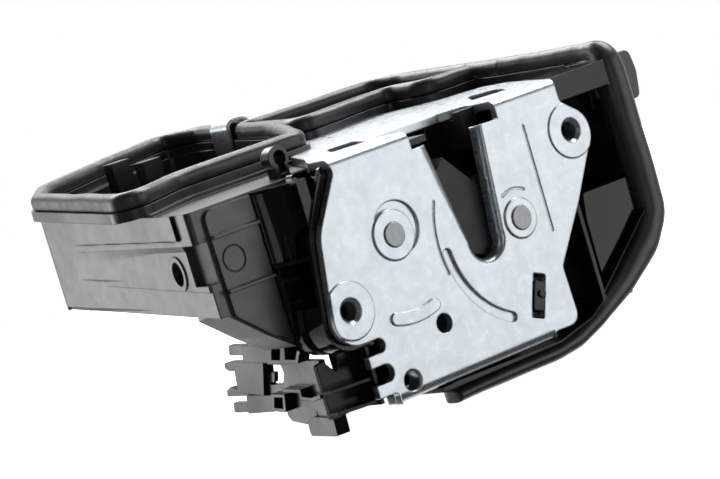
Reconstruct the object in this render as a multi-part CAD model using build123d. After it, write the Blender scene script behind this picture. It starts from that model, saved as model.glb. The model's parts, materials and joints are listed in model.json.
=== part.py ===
"""Door latch actuator: striker latch, lock drive and seal on one moulded carrier.

Own frame, millimetres: X runs across the latch plate, +Y into the door from the
plate's outer face, +Z towards the mouth of the striker slot.  The origin is the
centre of the striker at the root of the slot, on the plate's outer face.
"""
from build123d import *
from math import atan2, cos, degrees, hypot, pi, radians, sin
import os

# ---------------------------------------------------------------- driving sizes
SHEET = 2.5                 # latch plate, cold-formed sheet
PLATE_TOP = 37.0            # outer face of the top flange
PLATE_BOTTOM = -34.5
PLATE_LEFT = -45.5          # flange width, left and right
PLATE_RIGHT = 40.4
BEND = 3.0                  # outer bend radius of the flange
RETURN_DEPTH = 7.0          # bottom return bend
FIT = 0.3                   # clearance between mouldings and metal
RUN = 0.05                  # running clearance on a pivot, radial

STRIKER_R = 5.3             # root radius of the striker slot
SLOT_TOP = 31.5             # where the slot opens into the throat
THROAT_LEFT, THROAT_RIGHT = -16.4, 16.5
THROAT_DEPTH = 18.0         # how far the throat cuts into the flange
LIP_DEPTH = 4.4             # the slot's edge is drawn in this far

FORK_PIVOT = (14.0, 2.3)    # x, z
PAWL_PIVOT = (-31.3, 10.8)
PIVOT_R = 4.0               # rivet shank
RIVET_HEAD_R = 3.5          # formed head that shows on the plate
RIVET_HEAD_H = 0.5
BOSS_R = {"fork": 6.1, "pawl": 7.4}        # raised disc round each rivet
BOSS_H = 0.6

SCREWS = {"upper": (41.2, 21.1), "left": (-52.9, -4.7), "lower": (-39.0, -29.5)}
SCREW_R = 2.7               # M6 thread drawn at its mean diameter
COLLAR_R = 4.2              # drawn collar that carries the thread
COLLAR_DEPTH = 3.0
PILOT = (-22.9, -17.8)      # plain hole for the assembly pin
PILOT_R = 2.8

FORK_Y = (5.2, 13.2)        # the layer in which fork and pawl turn
BACK_Y = 14.0               # front of the steel back plate
BACK_T = 2.0
FLOOR_Y = BACK_Y + BACK_T + FIT     # front of the carrier's floor
WALL = 2.0                  # moulded walls
CARRIER_FRONT = SHEET + FIT

RIM_Z = 36.9                # seat of the seal above the row's x axis
RIM_SLOPE = 0.0285          # the seat climbs towards the far end
RIM_BAND = 3.0              # height of the band under the seal
SEAL_R = 3.0                # foam cord of the rim seal
SEAL_SIDE = 5.2             # foam strip of the face seal

BOX_FLOOR = 4.0             # underside of the long box at its near end
BOX_RISE = 0.04             # the underside climbs towards the far end


# ---------------------------------------------------------------- small helpers
def front(y):
    """Sketch plane parallel to the latch plate; local axes are x and z."""
    return Plane(origin=(0, y, 0), x_dir=(1, 0, 0), z_dir=(0, -1, 0))


def outline(corners):
    """Closed face from (u, v, radius) corners; radius 0 keeps a corner sharp."""
    points = [(u, v) for u, v, _ in corners]
    radii = [r for _, _, r in corners]
    return make_face(FilletPolyline(*points, radius=radii, close=True).edges())


def slab(corners, y0, y1):
    """Prism through the depth of the latch, from y0 to y1."""
    return extrude(front(y0) * outline(corners), amount=y0 - y1)


def plan(corners, z0, z1):
    """Prism standing on the plan of the housing, from z0 to z1."""
    return extrude(Plane.XY.offset(z0) * outline(corners), amount=z1 - z0)


def sharp(points, r=0.0):
    return [(u, v, r) for u, v in points]


def block(x0, x1, y0, y1, z0, z1):
    return Pos((x0 + x1) / 2, (y0 + y1) / 2, (z0 + z1) / 2) * Box(x1 - x0, y1 - y0, z1 - z0)


def rod_y(x, z, r, y0, y1):
    return Pos(x, (y0 + y1) / 2, z) * Rot(90, 0, 0) * Cylinder(r, y1 - y0)


def rod_x(y, z, r, x0, x1):
    return Pos((x0 + x1) / 2, y, z) * Rot(0, 90, 0) * Cylinder(r, x1 - x0)


def rod_z(x, y, r, z0, z1):
    return Pos(x, y, (z0 + z1) / 2) * Cylinder(r, z1 - z0)


def between(p, q, width, y0, y1):
    """Round-ended bar from p to q in the latch's plane."""
    length = hypot(q[0] - p[0], q[1] - p[1])
    angle = degrees(atan2(q[1] - p[1], q[0] - p[0]))
    middle = Pos((p[0] + q[0]) / 2, (p[1] + q[1]) / 2)
    return extrude(front(y0) * middle * Rot(0, 0, angle) * SlotCenterToCenter(length, width),
                   amount=y0 - y1)


def polar(centre, radius, angle):
    return (centre[0] + radius * cos(radians(angle)), centre[1] + radius * sin(radians(angle)))


def arc_groove(centre, radius, a0, a1, width, y0, y1):
    """Bead or groove of constant width round a pivot, with round ends."""
    def at(r, a):
        return polar(centre, r, a)
    mid = (a0 + a1) / 2
    inner, outer = radius - width / 2, radius + width / 2
    line = [ThreePointArc(at(inner, a0), at(inner, mid), at(inner, a1)),
            ThreePointArc(at(outer, a0), at(outer, mid), at(outer, a1)),
            Line(at(inner, a0), at(outer, a0)), Line(at(inner, a1), at(outer, a1))]
    face = make_face(line)
    ends = [Pos(*at(radius, a)) * Circle(width / 2) for a in (a0, a1)]
    return extrude(front(y0) * (face + ends[0] + ends[1]), amount=y0 - y1)


def one(shape):
    """The shape as a plain compound of its solids."""
    return Compound([solid for solid in shape.solids() if solid.volume > 0.5])


# ------------------------------------------------------------------- latch plate
def slot_section(spread_left, spread_root, spread_right, y, top=SLOT_TOP):
    """Section of the striker slot at depth y, grown by a spread on each side."""
    r = STRIKER_R + spread_root
    left_top, right_top = -10.3 - spread_left, 8.8 + spread_right
    corners = [(left_top, top), (-r - 0.02, 0.9), (r + 0.02, 0.9), (right_top, top)]
    line = [Line(corners[3], corners[0]), Line(corners[0], corners[1]),
            ThreePointArc(corners[1], (0, -r), corners[2]), Line(corners[2], corners[3])]
    return front(y) * make_face(line)


def slot_funnel():
    """The slot's drawn-in edge: a quarter round that runs into a straight wall."""
    sections = []
    for step in range(5):
        turn = step / 4 * pi / 2
        rest = 1 - sin(turn)
        depth = -0.01 + LIP_ROUND * (1 - cos(turn))
        sections.append(slot_section(5.2 * rest, 2.0 * rest, 1.5 * rest, depth, SLOT_TOP + 1))
    return loft(sections)


LIP_ROUND = 2.6             # radius of the drawn edge, in depth
LIP_WALL = 1.7              # wall left by drawing the sheet in
PLATE_OUTLINE = [
    (PLATE_LEFT, PLATE_TOP, 0), (-45.0, 32.6, 2), (-55.3, 17.6, 14), (-60.9, -14.7, 7.6),
    (-51.5, -14.7, 0), (-51.5, -30.9, 0), (-45.0, -30.9, 1.2), (-45.0, PLATE_BOTTOM, 0),
    (14.6, PLATE_BOTTOM, 0), (14.8, -32.4, 0.8), (24.7, -32.6, 3.6), (24.2, -15.4, 3),
    (37.0, 0.9, 8), (51.2, 21.9, 7.8), (PLATE_RIGHT, 29.8, 3.5), (PLATE_RIGHT, PLATE_TOP, 0)]
FLANGE_OUTLINE = [
    (PLATE_LEFT, 0, 0), (PLATE_RIGHT, 0, 0), (58.0, 42.0, 6), (60.0, 57.0, 3), (49.5, 64.0, 5),
    (45.5, 76.0, 6), (40.0, 97.0, 4), (15.0, 103.0, 8), (-8.0, 61.0, 5), (-24.0, 47.5, 6),
    (-36.0, 24.0, 8), (PLATE_LEFT, 10.0, 3)]
FINGER_NOTCHES = [(-16.8, 4.2, -45.2), (-24.75, 5.2, -44.9)]     # z, width, centre of its end
WINDOWS = [[(-23.6, 30.0), (-31.5, 16.5), (-21.5, 12.7), (-15.3, 27.0)],
           [(39.6, 40.5), (27.8, 23.2), (37.6, 17.8), (44.9, 31.2)]]
CLIP_CENTRE = (12.55, -20.85)
CLIP_TURN = 22.5            # the clip slot leans with the fork's stop
CLIP_SLOT = (4.6, 13.0)


def clip_slot_tool(width, height, y0, y1):
    place = front(y0) * Pos(*CLIP_CENTRE) * Rot(0, 0, -CLIP_TURN)
    return extrude(place * RectangleRounded(width, height, 0.6), amount=y0 - y1)


def bend_relief(x0, x1, z, inward):
    """What the outer round of a bend takes off the square corner at height z."""
    middle = z + inward * BEND
    corner = block(x0, x1, -1, BEND, min(middle, z - inward), max(middle, z - inward))
    return corner - rod_x(BEND, middle, BEND, x0 - 1, x1 + 1)


def latch_plate():
    sheet = slab(PLATE_OUTLINE, 0, SHEET)
    sheet += plan(FLANGE_OUTLINE, PLATE_TOP - SHEET, PLATE_TOP)
    sheet += block(-44.5, 14.6, 0, RETURN_DEPTH, PLATE_BOTTOM, PLATE_BOTTOM + SHEET)
    sheet -= bend_relief(PLATE_LEFT - 1, PLATE_RIGHT + 1, PLATE_TOP, -1)
    sheet -= bend_relief(-44.5, 14.6, PLATE_BOTTOM, 1)
    # raised discs, screw pads and collars
    for pivot, radius in ((FORK_PIVOT, BOSS_R["fork"]), (PAWL_PIVOT, BOSS_R["pawl"])):
        disc = front(0.2) * Pos(*pivot) * Circle(radius)
        sheet += extrude(disc, amount=BOSS_H + 0.2, taper=25)
    sheet -= pawl_dimple()
    for name in ("upper", "left"):
        sheet += screw_pad(*SCREWS[name])
    for x, z in SCREWS.values():
        sheet += rod_y(x, z, COLLAR_R, SHEET - 0.2, SHEET + COLLAR_DEPTH)
    sheet += slot_funnel_wall()
    # striker slot and throat
    sheet -= extrude(slot_section(0, 0, 0, -1.0, SLOT_TOP + 1), amount=-10)
    sheet -= slot_funnel()
    sheet -= plan([(THROAT_LEFT, -1, 0), (THROAT_RIGHT, -1, 0), (THROAT_RIGHT, 14.0, 3),
                   (9.0, THROAT_DEPTH, 2), (-30.0, THROAT_DEPTH, 0), (-30.0, 15.4, 0),
                   (THROAT_LEFT, 15.4, 0)], SLOT_TOP, PLATE_TOP + 1)
    # tongue bent down at the back of the throat
    sheet += block(-30.0, -6.0, THROAT_DEPTH - 0.01, THROAT_DEPTH + SHEET, 24.5, PLATE_TOP - 0.6)
    # fingers, windows, holes and the fork's guide bead
    for z, width, end in FINGER_NOTCHES:
        sheet -= between((end - width / 2 + 0.6, z), (-70, z), width, -1, SHEET + 1)
    for window in WINDOWS:
        sheet -= plan(sharp(window, 1.2), PLATE_TOP - SHEET - 1, PLATE_TOP + 1)
        relief = offset(outline(sharp(window, 1.2)), amount=3.0)
        sheet -= extrude(Plane.XY.offset(PLATE_TOP - SHEET - 1) * relief, amount=SHEET)
    for x, z in SCREWS.values():
        sheet -= rod_y(x, z, SCREW_R, -2, SHEET + COLLAR_DEPTH + 1)
        sheet -= Pos(x, 0.15 - PAD_H / 2, z) * Rot(90, 0, 0) * Cone(SCREW_R, SCREW_R + 1.3, 1.3)
    sheet -= rod_y(*PILOT, PILOT_R, -1, SHEET + 1)
    for pivot in (FORK_PIVOT, PAWL_PIVOT):
        sheet -= rod_y(*pivot, RIVET_HEAD_R, -2, SHEET + 1)
    sheet -= clip_slot_tool(*CLIP_SLOT, -1, SHEET + 1)
    sheet -= arc_groove(FORK_PIVOT, 28.9, 184, 244, 3.0, -1, 1.0)
    # thin steps where the fork's and the hinge side's beads run out
    sheet -= arc_groove(FORK_PIVOT, 31.2, 155, 194, 0.7, -1, 0.35)
    sheet -= between((24.7, 27.0), (24.5, -4.5), 0.7, -1, 0.3)
    sheet -= arc_groove(FORK_PIVOT, 8.6, 60, 118, 0.7, -1, 0.3)
    sheet += arc_groove(PAWL_PIVOT, 23.6, 252, 287, 3.6, -0.7, 0.3)
    return sheet


PAD_R = 8.4                 # raised pad round a door screw
PAD_H = 0.45


def screw_pad(x, z):
    """Pad pressed forward round a screw hole, kept inside the sheet's outline."""
    pad = extrude(front(0.2) * Pos(x, z) * Circle(PAD_R), amount=PAD_H + 0.2, taper=20)
    return pad & slab(PLATE_OUTLINE, -PAD_H - 1, SHEET)


def pawl_dimple():
    """Crescent pressed back beside the pawl's disc, deepest to its right."""
    x, z = PAWL_PIVOT
    moon = rod_y(x + 1.9, z + 1.5, BOSS_R["pawl"] + 0.5, -1, 0.9)
    return moon - rod_y(x, z, BOSS_R["pawl"], -2, 2)


def slot_funnel_wall():
    """The drawn sheet behind the slot's edge, before the slot is opened."""
    wall = slot_section(LIP_WALL, LIP_WALL, LIP_WALL, SHEET - 0.2, SLOT_TOP)
    return extrude(wall, amount=-(LIP_DEPTH - SHEET + 0.2))


# ------------------------------------------------- fork, pawl and their pivots
STRIKER_HOME = (0.0, 8.0)   # centre of the striker when the fork is locked
MOUTH_R = 5.0
FORK_SWING = 58.0           # from open, as drawn, to locked
PAWL_DROP = 7.0             # the pawl swings this far into the locked fork
TIP_R = 29.0                # fork radii about its pivot
NOTCH_R = 24.3
LOBE_R = 28.0
HOOK_R = 22.0
SKIN = 1.0                  # plastic over the fork's steel


def about(pivot, turn):
    """Turn in the latch's plane, counter-clockwise as seen from the front."""
    return Pos(pivot[0], 0, pivot[1]) * Rot(0, -turn, 0) * Pos(-pivot[0], 0, -pivot[1])


def fork_face(inset=0.0):
    """Outline of the locked fork, drawn about its pivot."""
    x, z = STRIKER_HOME

    def at(radius, angle):
        return polar(FORK_PIVOT, radius, angle)

    line = [Line((x, z - MOUTH_R), at(TIP_R, 183.5)),
            ThreePointArc(at(TIP_R, 183.5), at(TIP_R, 191), at(TIP_R, 198.5)),
            Line(at(TIP_R, 198.5), at(NOTCH_R, 202.5)),
            ThreePointArc(at(NOTCH_R, 202.5), at(NOTCH_R, 209), at(NOTCH_R, 215.6)),
            Line(at(NOTCH_R, 215.6), at(LOBE_R, 215.6)),
            ThreePointArc(at(LOBE_R, 215.6), at(LOBE_R, 226), at(LOBE_R, 237)),
            Line(at(LOBE_R, 237), at(NOTCH_R - 3, 248)),
            Line(at(NOTCH_R - 3, 248), at(11.5, 285)),
            ThreePointArc(at(11.5, 285), at(11.5, 350), at(11.5, 50)),
            Line(at(11.5, 50), at(HOOK_R, 84)),
            ThreePointArc(at(HOOK_R, 84), at(HOOK_R, 115), at(HOOK_R, 149)),
            Line(at(HOOK_R, 149), (x - 4.6, z + MOUTH_R)),
            Line((x - 4.6, z + MOUTH_R), (x, z + MOUTH_R)),
            ThreePointArc((x, z + MOUTH_R), (x + MOUTH_R, z), (x, z - MOUTH_R))]
    face = make_face(line)
    return offset(face, amount=-inset) if inset else face


def fork_slab(inset, y0, y1):
    solid = extrude(front(y0) * fork_face(inset), amount=y0 - y1)
    return about(FORK_PIVOT, -FORK_SWING) * solid


def fork_steel():
    y0, y1 = FORK_Y
    steel = fork_slab(SKIN, y0 + SKIN, y1 - SKIN)
    steel += rod_y(*FORK_PIVOT, 7.4, y0, y1)
    return steel - rod_y(*FORK_PIVOT, PIVOT_R + RUN, y0 - 1, y1 + 1)


def fork_cover():
    y0, y1 = FORK_Y
    skin = fork_slab(0, y0, y1) - fork_slab(SKIN, y0 + SKIN, y1 - SKIN)
    return skin - rod_y(*FORK_PIVOT, 7.4, y0 - 1, y1 + 1)


NOSE = (206.6, 214.9)       # the pawl's nose lies between these angles of the fork
PAWL_ELBOW = (-25.2, -12.2)
PAWL_STUD_R = 2.5


def pawl():
    """Bent pawl, drawn locked and then swung back to ride on the fork."""
    y0, y1 = FORK_Y[0] + 1, FORK_Y[1] - 1

    def at(radius, angle):
        return polar(FORK_PIVOT, radius, angle)

    nose = [at(NOTCH_R + 0.5, NOSE[0]), at(NOTCH_R + 0.5, NOSE[1]), at(33.5, NOSE[1]),
            (PAWL_ELBOW[0], PAWL_ELBOW[1] - 4.4), (PAWL_ELBOW[0], PAWL_ELBOW[1] + 3.4),
            at(33, NOSE[0])]
    body = between(PAWL_PIVOT, PAWL_ELBOW, 9.0, y0, y1)
    body += slab(sharp(nose, 0.5), y0, y1)
    body += rod_y(*PAWL_PIVOT, 8.0, y0 - 0.8, y1 + 0.8)
    body += rod_y(*PAWL_ELBOW, PAWL_STUD_R, y1 - 0.5, LEVER_Y[1])
    body -= rod_y(*PAWL_PIVOT, PIVOT_R + RUN, y0 - 3, y1 + 3)
    return about(PAWL_PIVOT, -PAWL_DROP) * body


def rivet(pivot):
    """Stepped pivot: formed head, shoulder between the plates, formed tail."""
    pin = rod_y(*pivot, RIVET_HEAD_R, -BOSS_H - RIVET_HEAD_H, SHEET)
    pin += rod_y(*pivot, PIVOT_R, SHEET, BACK_Y)
    pin += rod_y(*pivot, RIVET_HEAD_R, BACK_Y, BACK_Y + BACK_T)
    head = pin.edges().filter_by(GeomType.CIRCLE).sort_by(Axis.Y)[0]
    return fillet(head, 0.3)


def coil(pivot, radius, wire, turns, y0, leg):
    """Torsion spring round a pivot with one straight leg."""
    rise = turns * (wire + 0.15)
    path = Helix(wire + 0.15, rise, radius, center=(0, 0, 0), direction=(0, 0, 1))
    start = Plane(origin=path @ 0, z_dir=path % 0)
    spring = sweep(start * Circle(wire / 2), path=path)
    spring = Pos(pivot[0], y0 + wire / 2 + rise, pivot[1]) * Rot(90, 0, 0) * spring
    x, z = pivot[0] + radius, pivot[1]
    return spring + rod_z(x, y0 + wire / 2 + rise, wire / 2, z, z + leg)


SPRING_WIRE = 0.9
SPRING_R = PIVOT_R + 1.1


def fork_spring():
    return coil(FORK_PIVOT, SPRING_R, SPRING_WIRE, 1.25, SHEET + 0.25, 0.0)


BACK_OUTLINE = [(-40.5, 22.0, 6), (-40.5, -3.0, 6), (-33.0, -27.0, 6), (6.0, -27.0, 8),
                (27.0, -10.0, 8), (27.0, 17.0, 6), (13.5, 17.0, 2), (9.6, 8.0, 3),
                (7.4, -2.0, 3), (0.0, -8.6, 6), (-7.4, -2.0, 3), (-11.5, 17.0, 3),
                (-19.0, 22.0, 4)]
LEVER_Y = (18.8, 20.8)      # layer of the release levers behind the carrier's floor


def back_plate():
    """Steel plate that carries the tails of both pivots, open round the striker."""
    plate = slab(BACK_OUTLINE, BACK_Y, BACK_Y + BACK_T)
    for pivot in (FORK_PIVOT, PAWL_PIVOT):
        plate -= rod_y(*pivot, RIVET_HEAD_R, BACK_Y - 1, BACK_Y + BACK_T + 1)
    return plate - pawl_window(BACK_Y - 1, BACK_Y + BACK_T + 1)


def pawl_window(y0, y1):
    """Arc window that lets the pawl's stud swing."""
    reach = hypot(PAWL_ELBOW[0] - PAWL_PIVOT[0], PAWL_ELBOW[1] - PAWL_PIVOT[1])
    locked = degrees(atan2(PAWL_ELBOW[1] - PAWL_PIVOT[1], PAWL_ELBOW[0] - PAWL_PIVOT[0]))
    return arc_groove(PAWL_PIVOT, reach, locked - PAWL_DROP - PAWL_RELEASE - 1, locked + 1,
                      2 * PAWL_STUD_R + 1.2, y0, y1)


PAWL_RELEASE = 13.0         # release travel beyond riding on the fork


# ------------------------------------------------------------ moulded carrier
CARRIER_BACK = 24.0
EAR_BACK = 15.7             # the carrier is shallower beside the plate's left ear
CARRIER_TOP = PLATE_TOP - SHEET - FIT
SKIRT_TOP = PLATE_BOTTOM - 0.4
TRAY_FRONT = 5.0
TRAY_FLOOR = 22.0
TRAY_WALL = [(18.4, -37.9, 12), (32.3, -35.1, 12), (40.0, -30.4, 6), (67.6, -9.9, 4)]
CARRIER_OUTLINE = [(-47.6, CARRIER_TOP, 1), (-47.6, -31.6, 2), (-28.0, -31.6, 0.5),
                   (-28.0, -36.7, 0.5), *TRAY_WALL, (67.8, PLATE_TOP, 3),
                   (41.0, PLATE_TOP, 0.5), (41.0, CARRIER_TOP, 0)]
CHAMBER = [(-45.6, 32.2, 2), (-45.6, -29.6, 1), (-26.0, -29.6, 0.5), (-26.0, SKIRT_TOP, 0.5),
           (17.9, SKIRT_TOP - 1.0, 8), (31.4, -33.3, 6), (37.6, -29.8, 1), (37.6, 32.2, 2)]
TRAY = [(39.6, 29.5, 4), (65.8, 29.5, 2), (65.6, -8.9, 2.5), (39.6, -28.6, 1)]
PAD = [(45.8, 1.2, 1), (64.6, 1.2, 0.5), (64.4, -8.4, 2), (44.2, -24.4, 1), (44.4, -6.6, 2)]
EAR = [(-44.0, 35.4, 0), (-47.0, 35.4, 1.5), (-56.8, 18.6, 14), (-62.2, -15.8, 8), (-44.0, -15.8, 0)]
LEDGE_Z = (11.8, 13.0)       # shelf across the cheek
EAR_BAND = [(-44.0, 33.2, 0), (-46.1, 33.2, 1.5), (-55.7, 18.0, 14), (-61.0, -14.8, 8), (-44.0, -14.8, 0)]
TERRACE = [(-44.0, 35.4, 0), (-49.4, 35.4, 1.5), (-58.8, 19.2, 14), (-63.4, -15.8, 8), (-44.0, -15.8, 0)]
EAR_POCKET = [(-44.0, 30.4, 0), (-45.8, 30.4, 1.5), (-54.0, 16.8, 13), (-59.2, -13.2, 6),
              (-44.0, -13.9, 0)]
STRIKER_WAY = [(-8.4, 40.0, 0), (-8.4, 4.0, 4), (-6.4, -7.4, 5), (6.4, -7.4, 5), (10.4, 6.0, 4),
               (10.4, 20.0, 0), (23.0, 20.0, 2), (23.0, 40.0, 0)]
LEVER_ROOM = [(-45.6, 22.0, 2), (-45.6, -29.6, 2), (36.0, -29.6, 2), (36.0, 14.0, 2),
              (14.4, 14.0, 1), (12.4, 4.0, 3), (7.6, -9.4, 6), (-7.6, -9.4, 6), (-10.4, 4.0, 3),
              (-10.4, 22.0, 1)]


def carrier():
    body = slab(CARRIER_OUTLINE, CARRIER_FRONT, CARRIER_BACK)
    body += slab(EAR, CARRIER_FRONT, EAR_BACK)
    # flared cheek between the plate's ear and the long box, hollowed above its ledge
    cheek = plan([(-52.0, 3.4, 0), (-57.5, 3.4, 0), (-63.4, EAR_BACK, 0), (-47.0, EAR_BACK, 0)],
            -11.5, 34.0)
    cove = rod_z(-67.0, 5.0, 11.5, LEDGE_Z[1], 33.2) + rod_z(-67.0, 5.0, 11.5, -12.0, -1.0)
    body += cheek - cove
    body += slab(TERRACE, 12.4, EAR_BACK)
    # band set back behind the front lip, down to the ledge
    band = slab(EAR, 4.2, 12.0) - slab(EAR_BAND, 3.0, 13.0)
    body -= band - block(-70.0, -40.0, 0.0, 20.0, -40.0, LEDGE_Z[1])
    body -= slab(CHAMBER, CARRIER_FRONT - 1, FLOOR_Y)
    body -= slab(EAR_POCKET, CARRIER_FRONT - 1, EAR_BACK - WALL)
    body -= block(-49.0, -24.0, CARRIER_FRONT - 1, 8.0, -35.2, -16.4)
    body -= slab(TRAY, CARRIER_FRONT - 1, TRAY_FLOOR)
    body -= block(39.0, 70.0, CARRIER_FRONT - 1, TRAY_FRONT, -40.0, 40.0)
    body += slab(PAD, 8.0, TRAY_FLOOR + 0.5)
    # opening in the ear's wall, beside the left screw
    tabs = block(-70.0, -54.0, 9.0, 14.0, 7.6, 8.4) + block(-70.0, -54.0, 10.0, 14.0, 1.2, 2.0)
    body -= block(-70.0, -54.5, 4.4, 13.6, -1.0, LEDGE_Z[0]) - tabs
    # lever room at the back, striker's way through the floor, tongue's pocket
    body -= slab(LEVER_ROOM, FLOOR_Y + WALL, CARRIER_BACK + 1)
    body -= slab(STRIKER_WAY, CARRIER_FRONT - 1, CARRIER_BACK + 1)
    body -= block(-31.0, 4.0, THROAT_DEPTH - FIT, CARRIER_BACK + 1, 24.0, PLATE_TOP + 1)
    body -= pawl_window(FLOOR_Y - 1, CARRIER_BACK)
    # pivots of the levers
    for x, z in LEVER_POSTS:
        body += rod_y(x, z, LEVER_POST_R, FLOOR_Y + WALL - 0.5, CARRIER_BACK)
    for x, z in SCREWS.values():
        body -= rod_y(x, z, COLLAR_R + 0.4, CARRIER_FRONT - 1, SHEET + COLLAR_DEPTH + 0.4)
    body -= flange_bed()
    body += throat_back()
    # flange under the front end of the rim seal
    body += block(66.5, 73.4, FACE_SEAL_Y[1], CARRIER_BACK, 35.0, 37.1)
    body -= face_strip(CARRIER_FRONT - 1, FACE_SEAL_Y[1])
    body -= outside_lever_room()
    return body


def flange_bed():
    """Room for the plate's top flange, with clearance all round."""
    bed = offset(outline(FLANGE_OUTLINE), amount=0.5)
    return extrude(Plane.XY.offset(CARRIER_TOP) * bed, amount=PLATE_TOP + 0.05 - CARRIER_TOP)


RELEASE_PIVOT = (-29.0, -24.6)
LOCK_PIVOT = (27.0, -14.0)
LEVER_POSTS = [RELEASE_PIVOT, LOCK_PIVOT]
LEVER_POST_R = 2.6
OUTSIDE_PIVOT = (57.0, 33.2)
OUTSIDE_Y = (12.0, 14.6)
OUTSIDE_SWING = 14.0


def outside_lever_room():
    """Slot in the top block and the side wall for the outside lever."""
    y0, y1 = OUTSIDE_Y[0] - FIT, OUTSIDE_Y[1] + FIT
    room = slab([(52.0, 36.6, 2), (52.0, 29.6, 2), (66.0, 25.6, 1), (69.5, 24.0, 0), (69.5, 34.8, 0),
                 (62.0, 36.6, 2)], y0, y1)
    return room + rod_y(*OUTSIDE_PIVOT, 1.5 + RUN, y0 - 4, y1 + 4)


def outside_lever():
    """Bell crank of the outside handle; its lug stands out past the seal."""
    y0, y1 = OUTSIDE_Y
    arm = slab([(54.0, 30.4, 2.4), (72.0, 28.6, 2), (77.2, 22.0, 2), (81.6, 22.0, 2), (83.0, 30.0, 6),
            (82.0, 37.0, 2.4),
                (76.0, 36.6, 1.5), (74.5, 34.4, 0.5), (66.0, 34.4, 1), (60.0, 35.9, 3), (54.0, 35.9,
                        2.4)], y0, y1)
    arm += rod_y(*OUTSIDE_PIVOT, 1.5, y0 - 3.5, y1 + 3.5)
    return arm - rod_y(79.4, 27.6, 1.6, y0 - 1, y1 + 1)


def release_lever():
    """Two-armed lever: a slotted arm holds the pawl's stud, the other takes the rod."""
    y0, y1 = LEVER_Y
    stud = polar(PAWL_PIVOT, STUD_REACH, STUD_ANGLE)
    away = degrees(atan2(stud[1] - RELEASE_PIVOT[1], stud[0] - RELEASE_PIVOT[0]))
    tip, eye = polar(RELEASE_PIVOT, 16.0, away), polar(RELEASE_PIVOT, 20.0, 12.0)
    lever = rod_y(*RELEASE_PIVOT, 4.6, y0, y1) + between(RELEASE_PIVOT, tip, 8.6, y0, y1)
    lever += between(RELEASE_PIVOT, eye, 4.8, y0, y1)
    lever -= between(polar(RELEASE_PIVOT, 10.0, away), polar(RELEASE_PIVOT, 30.0, away), STUD_SLOT,
            y0 - 1, y1 + 1)
    lever -= rod_y(*RELEASE_PIVOT, LEVER_POST_R + RUN, y0 - 1, y1 + 1)
    return lever - rod_y(*eye, 1.2, y0 - 1, y1 + 1)


STUD_REACH = hypot(PAWL_ELBOW[0] - PAWL_PIVOT[0], PAWL_ELBOW[1] - PAWL_PIVOT[1])
STUD_ANGLE = degrees(atan2(PAWL_ELBOW[1] - PAWL_PIVOT[1], PAWL_ELBOW[0] - PAWL_PIVOT[0])) - PAWL_DROP
STUD_SLOT = 2 * PAWL_STUD_R + 0.6
DOG_AT = 8.5                        # the locking lever's dog, from its pivot
DOG_R = 1.5


def lock_lever():
    """Locking lever beside the fork, turned by the drive."""
    y0, y1 = LEVER_Y
    lever = rod_y(*LOCK_PIVOT, 5.4, y0, y1)
    lever += slab([(23.5, -11.0, 1), (30.0, -10.0, 1), (31.0, 9.0, 2.4), (25.0, 9.0, 2.4)], y0, y1)
    x, z = LOCK_PIVOT
    lever += between(LOCK_PIVOT, (x, z - DOG_AT), 5.0, y0, y1)
    lever += rod_y(x, z - DOG_AT, DOG_R, y0, GEAR_Y[0] + 4.0)
    return lever - rod_y(*LOCK_PIVOT, LEVER_POST_R + RUN, y0 - 1, y1 + 1)


# ----------------------------------------------------- long actuator housing
HOUSE_FRONT = CARRIER_BACK + FIT
PANEL_Y = EAR_BACK + FIT
HOUSE_PLAN = [(-85.2, PANEL_Y, 1.5), (-62.0, 131.0, 8), (-46.6, 149.0, 8), (-17.0, 166.5, 10),
              (24.5, 186.0, 5), (33.5, 170.5, 4), (28.0, 136.5, 3), (63.0, 134.0, 6),
              (73.4, 129.0, 6), (76.2, 117.0, 8), (73.0, 86.0, 10), (69.0, 56.0, 8),
              (69.0, HOUSE_FRONT, 1.5), (-48.0, HOUSE_FRONT, 0), (-48.0, PANEL_Y, 0)]
SEAL_PATH = [(70.0, 11.6, 0), (70.5, 57.0, 12), (74.5, 87.0, 14), (78.0, 117.0, 9), (74.5, 131.0, 7),
             (62.0, 131.8, 7), (24.0, 136.2, 4), (30.5, 171.0, 6), (24.0, 187.0, 6), (-17.0, 168.5, 14),
             (-46.0, 151.0, 10), (-60.5, 131.0, 12), (-85.5, 42.1, 4), (-60.0, 55.8, 14),
             (-14.0, 55.0, 4), (2.0, 84.0, 12), (8.0, 96.0, 0)]
VALLEY_PATH = [(8.0, 96.0, 0), (14.0, 108.0, 14), (22.5, 136.0, 0)]
CROSS_PATH = [(20.4, 129.0, 0), (15.5, 107.0, 8), (11.5, 88.0, 4), (24.0, 89.2, 6), (40.0, 92.5, 8),
              (51.0, 91.5, 5), (51.5, 74.0, 5), (72.5, 74.0, 0)]
TROUGH = [(-72.5, 59.0, 5), (-57.5, 128.0, 7), (-44.0, 145.0, 8), (-15.5, 162.0, 9),
          (21.5, 181.0, 3), (26.5, 170.0, 2), (21.5, 137.0, 3), (13.0, 124.0, 3),
          (-1.0, 90.0, 6), (-15.5, 59.0, 3)]
SHELF_TOP = 34.5
MOTOR_ROOM = [(7.0, HOUSE_FRONT + WALL, 2), (66.8, HOUSE_FRONT + WALL, 2), (66.8, 60.0, 2), (7.0, 60.0, 2)]
BOARD_ROOM = [(36.0, 64.0, 2), (68.6, 64.0, 2), (72.0, 118.0, 4), (60.0, 128.0, 3), (36.0, 128.0, 2)]
MOTOR_FLOOR = -33.0
DECK = 30.0                 # ceiling of the drive rooms


def seat_z(y):
    """Height of the seal's seat at depth y."""
    return RIM_Z + RIM_SLOPE * y


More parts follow.
